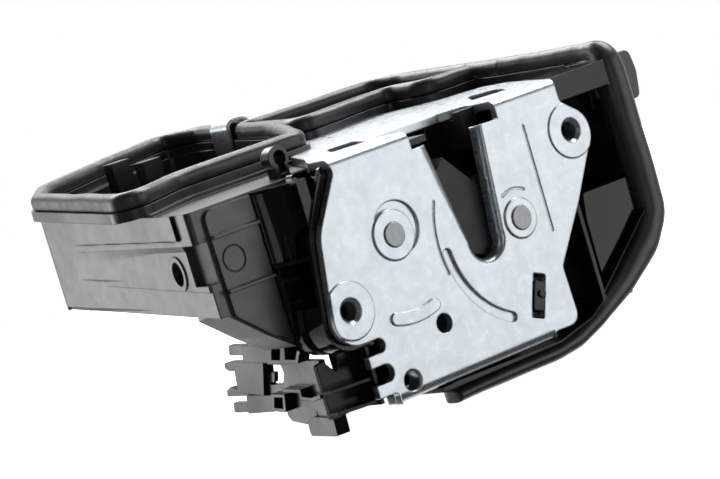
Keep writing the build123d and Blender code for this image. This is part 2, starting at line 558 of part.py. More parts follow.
def under_seat(drop, size=400.0):
    """Everything below the sloping seat, less a drop."""
    tilt = degrees(atan2(RIM_SLOPE, 1))
    return Pos(0, 0, RIM_Z - drop) * Rot(tilt, 0, 0) * Pos(0, 0, -size / 2) * Box(size, 2 * size, size)


def cord(path, section):
    """Section swept along a path that lies in the sloping seat."""
    tilt = atan2(RIM_SLOPE, 1)
    seat = Plane(origin=(0, 0, RIM_Z), x_dir=(1, 0, 0), z_dir=(0, -sin(tilt), cos(tilt)))
    points = [(x, y) for x, y, _ in path]
    route = seat * FilletPolyline(*points, radius=[r for _, _, r in path[1:-1]])
    start, along = route @ 0, route % 0
    profile = Plane(origin=start, x_dir=seat.z_dir.cross(along), z_dir=along) * section
    return sweep(profile, path=route)


RIM_WIDE = 6.4
D_SECTION_H = 5.0


def foam_section():
    """D-shaped foam: flat on the seat, round on top."""
    r = SEAL_SIDE / 2
    top = [polar((0, D_SECTION_H - r), r, a) for a in range(0, 181, 30)]
    return make_face(Polyline((-r, 0), (r, 0), *top, close=True))


def rim_seal():
    return cord(SEAL_PATH, foam_section()) + cord(VALLEY_PATH, foam_section()) + cord(CROSS_PATH,
            foam_section())


def rim_band():
    flat = Pos(0, -RIM_BAND / 2) * Rectangle(RIM_WIDE, RIM_BAND)
    return cord(SEAL_PATH, flat) + cord(VALLEY_PATH, flat) + cord(CROSS_PATH, flat)


def housing():
    body = plan(HOUSE_PLAN, BOX_FLOOR - 3.0, 60.0)
    # underside climbs towards the far end
    rise = degrees(atan2(BOX_RISE, 1))
    body -= Pos(0, PANEL_Y, BOX_FLOOR) * Rot(rise, 0, 0) * Pos(0, 150, -50) * Box(400, 500, 100)
    body += slab([(-83.5, BOX_FLOOR + 4, 0), (-82.6, BOX_FLOOR + 1, 2), (-70.5, -5.0, 4), (-62.0, -11.0, 2),
                  (-48.0, -11.0, 0), (-48.0, BOX_FLOOR + 4, 0)], PANEL_Y, PANEL_Y + 16.0)
    body += block(5.0, 68.8, HOUSE_FRONT, 62.0, MOTOR_FLOOR, BOX_FLOOR + 6)
    body = body & under_seat(RIM_BAND - 0.3)
    # shelf in front of the trough and the bed of the plate's flange
    shelf = [(-90.0, 5.0, 0), (-20.0, 5.0, 0), (-20.0, 51.5, 0), (-58.0, 51.5, 6), (-77.0, 41.5, 3),
            (-90.0, 38.5, 0)]
    body -= plan(shelf, SHELF_TOP, 60.0)
    body -= plan([(-21.0, 5.0, 0), (66.0, 5.0, 0), (66.0, 60.0, 3), (52.0, 68.5, 4), (46.5, 84.0, 4),
                  (17.0, 84.0, 4), (-6.0, 58.5, 3), (-13.0, 51.5, 0), (-21.0, 51.5, 0)], CARRIER_TOP, 60.0)
    # trough, drive rooms
    body -= plan(TROUGH, 12.0, 60.0)
    body -= plan(MOTOR_ROOM, MOTOR_FLOOR - 1, DECK)
    body -= plan(BOARD_ROOM, 0.0, DECK)
    # the wall's tapering recess, bore and tunnel beside the panel
    body -= box_wall_details()
    body += panel_ribs()
    body += rim_band() - block(60.0, 80.0, -5.0, HOUSE_FRONT, 30.0, 45.0)
    return body - flange_bed()


WALL_DIR = atan2(23.2, 115.0)       # the box's wall leans this far off the depth axis


def on_wall(along, z, out=0.0):
    """Point on the long box's outer wall, measured back from the panel."""
    x = -85.2 + along * sin(WALL_DIR) - out * cos(WALL_DIR)
    y = PANEL_Y + along * cos(WALL_DIR) + out * sin(WALL_DIR)
    return (x, y, z)


def wall_plane(along, z, out=0.0):
    """Sketch plane on the wall: local x runs back along it, local y is up."""
    x_dir = (sin(WALL_DIR), cos(WALL_DIR), 0)
    z_dir = (cos(WALL_DIR), -sin(WALL_DIR), 0)
    return Plane(origin=on_wall(along, z, out), x_dir=x_dir, z_dir=z_dir)


BORE_AT = (19.0, 17.6)              # along the wall and height
BORE_R = 3.5


def box_wall_details():
    upper = wall_plane(-2.0, 0.0, 1.0) * make_face(Polyline((0, 25.2), (118, 26.6), (118, -20), (0,
            -20), close=True))
    cut = extrude(upper, amount=1.7)
    lower = wall_plane(-2.0, 0.0, 1.0) * make_face(Polyline((0, 11.5), (118, 16.9), (118, -20), (0,
            -20), close=True))
    cut += extrude(lower, amount=2.3)
    cut -= extrude(wall_plane(*BORE_AT, -0.3) * Circle(BORE_R + 1.6), amount=3.0)
    cut += extrude(wall_plane(*BORE_AT, 3.0) * Circle(BORE_R), amount=12.0)
    # notch at the corner beside the panel
    return cut + block(-92.0, -80.9, PANEL_Y - 3, PANEL_Y + 9.0, 13.6, 25.4)


def panel_ribs():
    ribs = slab([(-80.2, 33.6, 3), (-60.8, 33.6, 1), (-60.8, -9.6, 1), (-69.4, -5.2, 3), (-79.6, 3.4, 3)],
                PANEL_Y - 1.2, PANEL_Y + 0.5)
    ribs -= arc_groove((-74.6, 18.6), 3.7, 0, 179, 0.4, PANEL_Y - 2, PANEL_Y - 0.9)
    ribs -= arc_groove((-74.6, 18.6), 3.7, 180, 359, 0.4, PANEL_Y - 2, PANEL_Y - 0.9)
    for z in (25.9, 10.4):
        rib = slab([(-80.0, z - 0.5, 0.3), (-63.6, z - 0.5, 0.3), (-63.6, z + 0.5, 0.3), (-80.0,
                z + 0.5, 0.3)],
                   PANEL_Y - 2.6, PANEL_Y + 0.5)
        ribs += rib
    return ribs - carrier_side()


def carrier_side():
    """Space of the carrier beside the panel, with clearance."""
    return plan([(-40.0, 0, 0), (-58.2, 0, 0), (-64.0, EAR_BACK + FIT / 2, 0), (-40.0,
            EAR_BACK + FIT / 2, 0)], -20.0, 40.0)


def motor_cover():
    """Lid under the motor room."""
    lid = block(5.0, 68.8, HOUSE_FRONT, 62.0, MOTOR_FLOOR - WALL, MOTOR_FLOOR)
    return fillet(lid.edges().filter_by(Axis.Z), 2.0)


def board_cover():
    """Lid under the electronics room."""
    lid = offset(outline(BOARD_ROOM), amount=-FIT)
    top = BOX_FLOOR + BOX_RISE * 48.0 + 5.0
    return extrude(Plane.XY.offset(top - WALL) * lid, amount=WALL)


# ------------------------------------------------------------- seals and trims
FACE_OUTER = [(65.4, 37.3, 0), (65.4, 41.2, 1.2), (69.6, 42.0, 2.4), (71.6, 34.0, 8), (72.1, 0.0, 20),
        (71.8, -13.0, 9), (65.0, -22.4, 10),
              (51.2, -30.7, 30), (38.1, -37.4, 20), (28.7, -40.6, 12), (18.0, -41.8, 12),
              (2.0, -41.4, 30), (-13.0, -40.1, 30), (-25.0, -38.4, 0.5)]
FACE_INNER = [(-25.0, -36.7, 0), (18.0, -36.7, 6), (31.6, -33.6, 8), (39.6, -29.2, 6),
              (65.4, -9.3, 3)]
FACE_SEAL_Y = (3.4, 11.5)


def face_strip(y0, y1):
    return slab(FACE_OUTER + FACE_INNER, y0, y1)


def face_seal():
    """Foam strip on the front edge of the carrier's right side and bottom."""
    strip = face_strip(*FACE_SEAL_Y)
    # the front face leans back outwards, as extruded foam does
    skirt = slab([(-30.0, -36.72, 0), (18.0, -36.72, 0), (18.0, -30.0, 0), (-30.0, -30.0, 0)], 2.0, 13.0)
    return strip - skirt


STRAP_T = 1.2
STRAP_WIDE = 14.0
STRAP_Y = 146.5             # middle of the strap along the far wall


def strap_seat():
    """Place of the strap on the far wall, turned with it."""
    (x0, y0, _), (x1, y1, _) = SEAL_PATH[6], SEAL_PATH[7]
    lean = (x1 - x0) / (y1 - y0)
    return Pos(x0 + (STRAP_Y - y0) * lean, STRAP_Y, seat_z(STRAP_Y)) * Rot(0, 0, -degrees(atan2(lean, 1)))


def rim_strap():
    """Sheet clip hooked over the seal and the far wall."""
    gap = RIM_WIDE / 2 + 0.1
    top = D_SECTION_H + 0.3
    inner = [(-gap, -9.0, 0), (-gap, top, 2.0), (gap, top, 2.0), (gap, -5.5, 0)]
    outer = [(gap + STRAP_T, -5.5, 0), (gap + STRAP_T, top + STRAP_T, 3.2),
             (-gap - STRAP_T, top + STRAP_T, 3.2), (-gap - STRAP_T, -9.0, 0)]
    profile = make_face(FilletPolyline(*[(x, z) for x, z, _ in inner + outer],
                                       radius=[r for _, _, r in inner + outer], close=True))
    return strap_seat() * extrude(front(-STRAP_WIDE / 2) * profile, amount=-STRAP_WIDE)


def connector_header():
    """Socket block in the trough: two key posts either side of the pins."""
    floor = 12.0
    block_plan = [(-23.0, 134.0, 2), (-6.0, 134.0, 2), (-6.0, 157.0, 2), (-23.0, 157.0, 4)]
    body = plan(block_plan, floor, 27.0)
    body -= plan([(-21.0, 136.0, 1), (-8.0, 136.0, 1), (-8.0, 155.0, 1), (-21.0, 155.0, 3)], 18.0, 28.0)
    for y, top in ((136.5, 44.0), (154.5, 45.5)):
        body += block(-18.5, -11.5, y - 2.5, y + 2.5, 14.0, top)
    return body - connector_pins()


PIN_ROWS = [(-18.5, 142.5), (-18.5, 147.0), (-18.5, 151.5), (-11.5, 142.5), (-11.5, 147.0), (-11.5, 151.5)]


def connector_pins():
    pins = None
    for x, y in PIN_ROWS:
        pin = block(x - 0.4, x + 0.4, y - 0.4, y + 0.4, 17.0, 25.5)
        pins = pin if pins is None else pins + pin
    return pins


KEYHOLE_AT = (-45.0, 25.0, 40.0)


def keyhole_post():
    """Upright loop with a keyhole recess that faces the plate."""
    x, y, z = KEYHOLE_AT
    post = rod_y(x, z, 3.5, y - 2.0, y + 2.0) + block(x - 2.4, x + 2.4, y - 2.0, y + 2.0, SHELF_TOP, z)
    hole = rod_y(x + 0.3, z, 2.1, y - 3, y + 1.0) + block(x - 0.9, x + 1.5, y - 3, y + 1.0,
            SHELF_TOP + 1.0, z)
    return post - hole


def striker_buffer():
    """Rubber stop in the throat, beside the striker's way."""
    post = slab([(10.9, 25.0, 1), (15.8, 25.0, 1), (15.8, 36.4, 0.5), (10.9, 36.4, 0.5)],
            BUFFER_FRONT, 12.8)
    post += slab([(10.9, 25.0, 1), (15.8, 25.0, 1), (15.8, 34.2, 0), (10.9, 34.2, 0)], 12.7,
            THROAT_DEPTH - 0.5)
    return post + slab([(10.9, 27.4, 0), (15.8, 27.4, 0), (15.8, 34.0, 0), (10.9, 34.0, 0)], 15.0,
            THROAT_BACK)


BUFFER_FRONT = 9.4          # face of the buffer and its stop, behind the plate
THROAT_BACK = 19.0


def throat_back():
    """Carrier wall behind the throat, right of the striker's way."""
    wall = block(4.3, 24.0, THROAT_BACK, THROAT_BACK + WALL, 27.0, CARRIER_TOP)
    stop = block(16.4, 23.5, BUFFER_FRONT, THROAT_BACK + 1, 31.6, CARRIER_TOP)
    stop += block(16.0, THROAT_RIGHT - 0.1, BUFFER_FRONT, 13.0, 31.6, 36.4)
    return wall + stop


def plate_clip():
    """Moulded clip in the leaning slot of the plate: it fills the middle and has a nub."""
    width, height = CLIP_SLOT
    stem = clip_slot_tool(width - 2 * FIT, height - 4.4, -0.5, SHEET + 0.5)
    nub = rod_y(*polar(CLIP_CENTRE, 0.9, CLIP_TURN + 8), 1.2, -1.1, SHEET)
    return stem + nub + clip_slot_tool(width + 2.0, height + 2.0, SHEET, SHEET + 1.6)


# ------------------------------------------------------------- cable bracket
SIDE_DIR = atan2(0.238, 0.971)
SIDE_ORIGIN = (-60.0, 12.0, 0.0)
CABLE_T = 1.8


def side_slab(corners, t0, t1):
    """Corners (along, up) on the bracket's side plane, from depth t0 to t1 inward."""
    plane = Plane(origin=SIDE_ORIGIN, x_dir=(sin(SIDE_DIR), cos(SIDE_DIR), 0),
                  z_dir=(cos(SIDE_DIR), -sin(SIDE_DIR), 0))
    face = make_face(FilletPolyline(*[(u, v) for u, v, _ in corners],
                                    radius=[r for _, _, r in corners], close=True))
    return extrude(plane.offset(t0) * face, amount=t1 - t0)


def cable_bracket():
    t = CABLE_T
    panel = slab([(-62.2, -17.0, 1), (-59.6, -16.6, 0.5), (-56.1, -21.0, 0.5), (-54.6, -16.1, 0.5),
                  (-47.7, -16.1, 0), (-47.7, -31.9, 0), (-60.0, -33.0, 1), (-62.2, -33.0,
                          1)], 10.0, 10.0 + t)
    body = panel
    middle = [(-1.0, -16.1, 0), (8.0, -16.1, 0), (39.1, -16.6, 0), (72.2, -17.5, 0), (76.3, -18.0, 0.5),
              (77.7, -19.6, 0.5), (74.7, -20.5, 0.5), (65.2, -20.3, 0.5), (68.9, -26.6, 0.5), (77.4,
                      -25.6, 0.5),
              (81.8, -26.9, 0.5), (82.5, -28.8, 0.3), (47.7, -27.3, 0), (38.0, -27.0, 0), (14.0, -27.0, 0),
              (11.0, -33.8, 0), (-1.0, -33.0, 0)]
    body += side_slab(middle, 0.0, t)
    body += side_slab([(39.6, -16.6, 0), (65.0, -17.0, 0), (68.4, -26.8, 0), (47.2, -27.1, 0)], -1.3, 0.5)
    body -= side_slab([(39.8, -17.9, 1), (29.5, -17.8, 1), (29.0, -20.5, 0), (32.1, -23.6, 2), (43.6,
            -24.1, 1)], -2, t + 1)
    body += side_slab([(42.5, -20.3, 0), (36.7, -20.2, 0.3), (39.1, -23.3, 0.3), (45.0, -23.4, 0)],
            0.2, 1.4)
    # upper and lower arms, each with a thick root and a square socket
    body += side_slab([(53.0, -12.0, 0), (67.9, -12.3, 0.5), (70.1, -15.5, 0.5), (54.0, -15.3, 0)], 0.0, t)
    body += side_slab([(29.0, -11.6, 0.5), (53.2, -11.9, 0.5), (55.7, -16.9, 0.5), (32.6, -16.9,
            0.5)], -1.4, 2.4)
    body += side_slab([(38.5, -26.8, 0), (62.0, -27.4, 0), (64.7, -33.2, 0.5), (42.0, -31.8, 0.5)],
            -1.4, 2.4)
    body += side_slab([(63.0, -30.3, 0), (79.1, -30.6, 0.5), (80.6, -33.8, 0.5), (64.0, -33.2, 0)], 0.0, t)
    body += side_slab([(15.1, -11.0, 0.5), (30.0, -11.2, 0.5), (33.2, -16.8, 0.5), (18.4, -16.6,
            0.5)], -2.6, 3.0)
    body += side_slab([(26.5, -25.8, 0.5), (38.0, -26.0, 0.5), (41.0, -31.2, 0.5), (29.5, -31.2,
            0.5)], -2.6, 2.4)
    body -= side_slab([(18.9, -12.0, 0), (26.0, -12.1, 0), (28.6, -15.4, 0), (21.6, -15.4, 0)], -3.0, 1.6)
    body -= side_slab([(28.8, -26.8, 0), (35.6, -26.9, 0), (38.0, -30.2, 0), (30.9, -30.2, 0)], -3.0, 1.6)
    # stepped ledges that guide the cables
    body += side_slab([(19.0, -16.4, 0), (8.6, -16.2, 0), (5.4, -13.4, 0), (4.6, -13.4, 0), (4.6, -12.4, 0),
                       (6.4, -12.4, 0), (9.6, -15.1, 0), (19.0, -15.2, 0)], -2.6, 1.0)
    body += side_slab([(27.0, -25.1, 0), (14.4, -25.0, 0), (14.9, -27.2, 0), (5.6, -27.4, 0), (-1.0,
            -26.2, 0),
                       (-1.0, -25.1, 0), (6.4, -26.3, 0), (13.4, -26.1, 0), (13.0, -24.0, 0), (27.0,
                               -24.1, 0)], -2.6, 1.0)
    # stepped foot
    body += side_slab([(10.2, -26.5, 0), (30.0, -26.5, 0), (35.2, -31.2, 0.5), (36.0, -33.4, 1),
            (33.4, -34.9, 1),
                       (19.2, -35.6, 0), (13.2, -33.6, 0)], 0.0, 3.0)
    body += side_slab([(-1.5, -32.6, 0), (-1.0, -37.9, 1), (19.4, -38.5, 1), (19.0, -34.5, 0), (13.6,
            -32.6, 0)], -1.0, 3.0)
    # stiffening ribs in front of the panel
    for z0, z1 in ((-24.7, -25.4), (-31.0, -31.9)):
        body += slab([(-63.2, z0 + 0.5, 0.3), (-47.7, z1 + 0.5, 0), (-47.7, z1 - 0.5, 0), (-63.2,
                z0 - 0.5, 0.3)], 5.0, 10.5)
    body += block(-49.0, -47.7, 4.0, 12.0, -33.0, -16.1)
    return body


# ------------------------------------------------------------ drive in the housing
GEAR_AXIS = LOCK_PIVOT              # gear and locking lever turn about one line
GEAR_TEETH = 24
GEAR_R = 13.2
GEAR_ROOT = 11.6
GEAR_Y = (36.0, 43.0)
AXLE_R = 2.0
WORM_R = 4.2
WORM_CORE = 3.0
WORM_Z = GEAR_AXIS[1] + GEAR_R + WORM_R + 0.4
WORM_Y = (GEAR_Y[0] + GEAR_Y[1]) / 2
MOTOR_X = (40.0, 64.0)
MOTOR_R = 10.0
GEAR_SWING = 28.0                   # half the width of the dog's slot


def worm_gear():
    cx, cz = GEAR_AXIS
    corners = []
    for i in range(GEAR_TEETH):
        for radius, share in ((GEAR_ROOT, -0.36), (GEAR_R, -0.16), (GEAR_R, 0.16), (GEAR_ROOT, 0.36)):
            x, z = polar((cx, cz), radius, (i + share) * 360 / GEAR_TEETH)
            corners.append((x, z, 0))
    gear = slab(corners, *GEAR_Y) + rod_y(cx, cz, 5.0, GEAR_Y[0] - 3.0, GEAR_Y[1] + 3.0)
    for side in (GEAR_Y[0] - 1, GEAR_Y[1] - 1.5):
        gear -= rod_y(cx, cz, 10.0, side, side + 2.5) - rod_y(cx, cz, 5.0, side, side + 2.5)
    # hole for the locking lever's dog
    gear -= rod_y(cx, cz - DOG_AT, DOG_R + RUN, GEAR_Y[0] - 5, GEAR_Y[1] + 5)
    return gear - rod_y(cx, cz, AXLE_R + RUN, 0.0, 60.0)


def gear_axle():
    return rod_y(*GEAR_AXIS, AXLE_R, HOUSE_FRONT + 0.5, 52.0)


def worm():
    core = rod_x(WORM_Y, WORM_Z, WORM_CORE, 17.0, 37.0) + rod_x(WORM_Y, WORM_Z, 1.4, 10.6, 39.8)
    pitch = 2 * pi * GEAR_R / GEAR_TEETH
    for i in range(5):
        x = 27.0 + (i - 2) * pitch
        core += rod_x(WORM_Y, WORM_Z, WORM_R, x - 0.6, x + 0.6)
    return core


def motor():
    can = rod_x(WORM_Y, WORM_Z, MOTOR_R, *MOTOR_X)
    for side in (-1, 1):
        can -= block(MOTOR_X[0] - 1, MOTOR_X[1] + 1, WORM_Y + side * 10.5 - 2.5, WORM_Y + side * 10.5 + 2.5,
                     WORM_Z - 12, WORM_Z + 12)
    return can - rod_x(WORM_Y, WORM_Z, 1.4 + RUN, MOTOR_X[0] - 1, MOTOR_X[0] + 6)


def drive_cradle():
    """Ribs that hang from the housing's ceiling and carry motor, worm and gear."""
    ribs = None
    for x in (9.0, 43.0, 59.0):
        half = 11.0 if x > 30 else 4.0
        low = WORM_Z - (6.0 if x > 30 else 4.0)
        rib = block(x, x + 2.5, WORM_Y - half, WORM_Y + half, low, DECK + 1)
        hole = MOTOR_R + 0.02 if x > 30 else 1.4 + RUN
        rib -= rod_x(WORM_Y, WORM_Z, hole, x - 1, x + 4)
        if x > 30:
            rib -= block(x - 1, x + 4, WORM_Y - 7.9, WORM_Y + 7.9, low - 1, WORM_Z)
        ribs = rib if ribs is None else ribs + rib
    ribs += block(22.0, 32.0, 51.5, 54.5, GEAR_AXIS[1] - 5.0, DECK + 1)
    return ribs


def circuit_board():
    x0, y0, x1, y1 = 40.0, 72.0, 66.0, 122.0
    board = block(x0, x1, y0, y1, 25.0, 26.6)
    for x, y in ((43.0, 76.0), (63.0, 76.0), (43.0, 118.0), (63.0, 118.0)):
        board -= rod_z(x, y, 1.5, 20.0, 30.0)
    return board


def relay():
    return block(48.0, 60.0, 96.0, 112.0, 13.0, 25.0)


def board_posts():
    posts = None
    for x, y in ((43.0, 76.0), (63.0, 76.0), (43.0, 118.0), (63.0, 118.0)):
        post = rod_z(x, y, 3.0, 26.6, DECK + 1) + rod_z(x, y, 1.45, 24.0, DECK + 1)
        posts = post if posts is None else posts + post
    return posts


COVER_SCREWS = [(10.0, 57.0), (64.0, 57.0), (10.0, 30.0), (64.0, 30.0)]
SCREW_SHANK_R = 1.5


def cover_bosses():
    bosses = None
    for x, y in COVER_SCREWS:
        boss = rod_z(x, y, 3.6, MOTOR_FLOOR, MOTOR_FLOOR + 12.0)
        side = 1 if x > 30 else -1
        boss += block(min(x, x + side * 4), max(x, x + side * 4), y - 1.5, y + 1.5, MOTOR_FLOOR,
                MOTOR_FLOOR + 12.0)
        bosses = boss if bosses is None else bosses + boss
    return bosses


def cover_screws():
    screws = None
    for x, y in COVER_SCREWS:
        screw = rod_z(x, y, SCREW_SHANK_R, MOTOR_FLOOR - WALL, MOTOR_FLOOR + 8.0)
        head = rod_z(x, y, 2.9, MOTOR_FLOOR - WALL - 1.8, MOTOR_FLOOR - WALL)
        head -= extrude(Plane.XY.offset(MOTOR_FLOOR - WALL - 2.0) * Pos(x, y) * RegularPolygon(1.5,
                6), amount=1.3)
        screws = screw + head if screws is None else screws + screw + head
    return screws


def screw_holes():
    holes = None
    for x, y in COVER_SCREWS:
        hole = rod_z(x, y, SCREW_SHANK_R, MOTOR_FLOOR - WALL - 1, MOTOR_FLOOR + 9.0)
        holes = hole if holes is None else holes + hole
    return holes


def whole_housing():
    body = housing() + drive_cradle() + board_posts() + cover_bosses()
    body -= screw_holes()
    body -= rod_y(*GEAR_AXIS, AXLE_R, HOUSE_FRONT + 0.5, 52.0)
    body -= arc_groove(GEAR_AXIS, DOG_AT, 270 - GEAR_SWING - 4, 270 + GEAR_SWING + 4, 2 * DOG_R + 0.8,
                       HOUSE_FRONT - 1, HOUSE_FRONT + WALL + 1)
    strap_room = block(16.0, 38.0, 134.0, 158.0, 20.0, 60.0) & rim_strap_room()
    return body - strap_room


def rim_strap_room():
    """Space the strap's legs need beside the wall."""
    gap = RIM_WIDE / 2 + 0.1
    legs = Box(STRAP_T, STRAP_WIDE + 0.2, 20.0)
    room = Pos(-gap - STRAP_T / 2, 0, 0) * legs + Pos(gap + STRAP_T / 2, 0, 4.0) * legs
    return strap_seat() * room


# ------------------------------------------------------------------- hand over
NODES = {
    "latch_plate": latch_plate,
    "fork_rivet": lambda: rivet(FORK_PIVOT),
    "pawl_rivet": lambda: rivet(PAWL_PIVOT),
    "back_plate": back_plate,
    "fork_steel": fork_steel,
    "fork_cover": fork_cover,
    "fork_spring": fork_spring,
    "pawl": pawl,
    "carrier": carrier,
    "striker_buffer": striker_buffer,
    "plate_clip": plate_clip,
    "release_lever": release_lever,
    "lock_lever": lock_lever,
    "outside_lever": outside_lever,
    "housing": whole_housing,
    "rim_seal": rim_seal,
    "face_seal": face_seal,
    "rim_strap": rim_strap,
    "keyhole_post": keyhole_post,
    "connector_header": connector_header,
    "connector_pins": connector_pins,
    "cable_bracket": cable_bracket,
    "worm_gear": worm_gear,
    "gear_axle": gear_axle,
    "worm": worm,
    "motor": motor,
    "circuit_board": circuit_board,
    "relay": relay,
    "motor_cover": lambda: motor_cover() - screw_holes(),
    "board_cover": board_cover,
    "cover_screws": cover_screws,
}


def build():
    os.makedirs("parts", exist_ok=True)
    for name, make in NODES.items():
        export_step(one(make()), "parts/" + name + ".step")


if __name__ == "__main__":
    build()
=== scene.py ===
# %% [markdown]
# # A door latch actuator
#
# The real thing is a pressed, zinc-plated steel plate that faces the edge of a car door, a turning
# fork and a pawl behind it, and a long black moulding that holds the electric lock drive. Foam
# seals run round the rim of the moulding. The CAD model gives every shape its place, so this
# lesson adds light, a camera, and the finishes that make zinc, plastic and foam look real.

# %% Load the frame
import json
from math import atan2, cos, hypot, pi, radians, sin

import bmesh
import bpy
import numpy as np
from mathutils import Matrix, Vector


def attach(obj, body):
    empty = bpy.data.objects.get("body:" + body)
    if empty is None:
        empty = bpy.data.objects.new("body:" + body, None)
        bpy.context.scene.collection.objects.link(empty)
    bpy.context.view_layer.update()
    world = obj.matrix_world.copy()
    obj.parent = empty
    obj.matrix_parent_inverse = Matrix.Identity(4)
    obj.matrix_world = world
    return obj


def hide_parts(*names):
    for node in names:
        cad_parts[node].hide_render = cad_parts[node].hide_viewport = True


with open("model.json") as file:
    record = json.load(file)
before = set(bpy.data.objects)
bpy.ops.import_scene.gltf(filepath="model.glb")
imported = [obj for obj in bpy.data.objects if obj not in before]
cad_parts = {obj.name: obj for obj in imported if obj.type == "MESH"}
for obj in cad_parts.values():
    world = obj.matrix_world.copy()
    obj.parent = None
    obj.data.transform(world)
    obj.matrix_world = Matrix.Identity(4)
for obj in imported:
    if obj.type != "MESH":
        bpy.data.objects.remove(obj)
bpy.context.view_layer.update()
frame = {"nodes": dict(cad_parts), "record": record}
nodes = frame["nodes"]

# %% [markdown]
# ## The camera
#
# The latch is seen from the left and a little above, and the view is rolled, so its plate leans.
# A long lens keeps the far end nearly as large as the plate. The camera turns about a target on
# the plate: `away` points from the target to the camera, and `right` and `up` are its other axes.

# %% Place the camera
AZIMUTH, ELEVATION, ROLL = radians(-38.0), radians(6.3), radians(16.5)
DISTANCE = 0.9                      # metres from the frame's origin
PIXELS_PER_MM = 3.5
PICTURE_WIDE = 720                  # pixels
OPTICAL_X = 486.5                   # where the frame's origin lies in the picture
SENSOR = 36.0                       # millimetres

away = np.array([sin(AZIMUTH) * cos(ELEVATION), -cos(AZIMUTH) * cos(ELEVATION), sin(ELEVATION)])
level = np.array([cos(AZIMUTH), sin(AZIMUTH), 0.0])
upright = np.cross(away, level)
right = cos(ROLL) * level - sin(ROLL) * upright
up = sin(ROLL) * level + cos(ROLL) * upright
focal = PIXELS_PER_MM * DISTANCE * 1000
swing = atan2(OPTICAL_X - PICTURE_WIDE / 2, focal)
right_turned = cos(swing) * right - sin(swing) * away
away_turned = cos(swing) * away + sin(swing) * right

lens = bpy.data.cameras.new("camera")
lens.sensor_width = SENSOR
lens.lens = SENSOR * focal / PICTURE_WIDE
lens.clip_start, lens.clip_end = 0.05, 20.0
camera = bpy.data.objects.new("camera", lens)
axes = np.column_stack([right_turned, up, away_turned])
rows = [[*row, place] for row, place in zip(axes, away * DISTANCE)]
camera.matrix_world = Matrix(rows + [[0, 0, 0, 1]])
bpy.context.scene.collection.objects.link(camera)
bpy.context.scene.camera = camera
print("lens", round(lens.lens, 1), "mm")

# %% [markdown]
# ## Light and floor
#
# A dark, glossy thing is lit by what it mirrors. Here a white backdrop stands behind the object and
# the room in front of it is dim, with one large soft lamp to the right of the camera. The zinc plate
# mirrors that lamp and turns pale, walls seen at a slant mirror the backdrop and turn grey, and
# plastic that faces the camera mirrors the dim room and stays black. Smaller lamps above, behind and
# at the left draw the highlights along the seals and the edges.

# %% Helpers for node trees
def tree_of(owner):
    """An empty node tree of a material or world, with its output node."""
    owner.use_nodes = True
    tree = owner.node_tree
    tree.nodes.clear()
    world_owns = isinstance(owner, bpy.types.World)
    return tree, tree.nodes.new("ShaderNodeOutputWorld" if world_owns else "ShaderNodeOutputMaterial")


def add(tree, kind, **settings):
    """A node with its settings and inputs, by name or as i0, i1 ...; a socket as a value is linked."""
    node = tree.nodes.new(kind)
    for name, value in settings.items():
        if hasattr(node, name):
            setattr(node, name, value)
            continue
        numbered = name[0] == "i" and name[1:].isdigit()
        socket = node.inputs[int(name[1:]) if numbered else name.replace("_", " ")]
        if isinstance(value, bpy.types.NodeSocket):
            tree.links.new(value, socket)
        else:
            socket.default_value = value
    return node


def ramp(tree, value, span, result, **settings):
    """Carries a value from span (low, high) to result (at low, at high), and holds it outside."""
    return add(tree, "ShaderNodeMapRange", Value=value, From_Min=span[0], From_Max=span[1],
               To_Min=result[0], To_Max=result[1], **settings).outputs[0]


# %% Set the surroundings
BACKDROP = (0.45, 0.89, 0.0)        # direction of the white backdrop's middle
BACKDROP_EDGE = (0.2, 0.55)         # cosines between which dim turns to bright
DIM, BRIGHT = 0.05, 0.88
GAP_ACROSS = (0.995, -0.105, 0.0)   # square to the dark gap between two white walls
GAP_EDGE = (0.04, 0.11)             # sines between which the gap ends
GAP_DIM = 0.12                      # share of the light that the gap keeps

world = bpy.data.worlds.new("surroundings")
bpy.context.scene.world = world
tree, out = tree_of(world)
ray = add(tree, "ShaderNodeTexCoord").outputs["Generated"]
toward = add(tree, "ShaderNodeVectorMath", operation="DOT_PRODUCT", i0=ray, i1=BACKDROP)
wall = ramp(tree, toward.outputs["Value"], BACKDROP_EDGE, (DIM, BRIGHT), interpolation_type="SMOOTHSTEP")
sideways = add(tree, "ShaderNodeVectorMath", operation="DOT_PRODUCT", i0=ray, i1=GAP_ACROSS)
off_gap = add(tree, "ShaderNodeMath", operation="ABSOLUTE", i0=sideways.outputs["Value"])
gap = ramp(tree, off_gap.outputs[0], GAP_EDGE, (GAP_DIM, 1.0), interpolation_type="SMOOTHSTEP")
lit = add(tree, "ShaderNodeMath", operation="MULTIPLY", i0=wall, i1=gap)
path = add(tree, "ShaderNodeLightPath")
seen = add(tree, "ShaderNodeMath", operation="MAXIMUM", i0=path.outputs["Is Camera Ray"],
           i1=path.outputs["Is Transmission Ray"])
room = add(tree, "ShaderNodeBackground", Color=(1, 1, 1, 1), Strength=lit.outputs[0])
white = add(tree, "ShaderNodeBackground", Color=(1, 1, 1, 1), Strength=1.0)
both = add(tree, "ShaderNodeMixShader", i0=seen.outputs[0], i1=room.outputs[0], i2=white.outputs[0])
tree.links.new(both.outputs[0], out.inputs["Surface"])
print("room", DIM, "backdrop", BRIGHT)

# %% Lay the floor
FLOOR_Z, FLOOR_HALF, FLOOR_BEHIND = -0.0425, 0.5, 0.1
FLOOR_PALE, FLOOR_GLOW = 0.9, 0.97


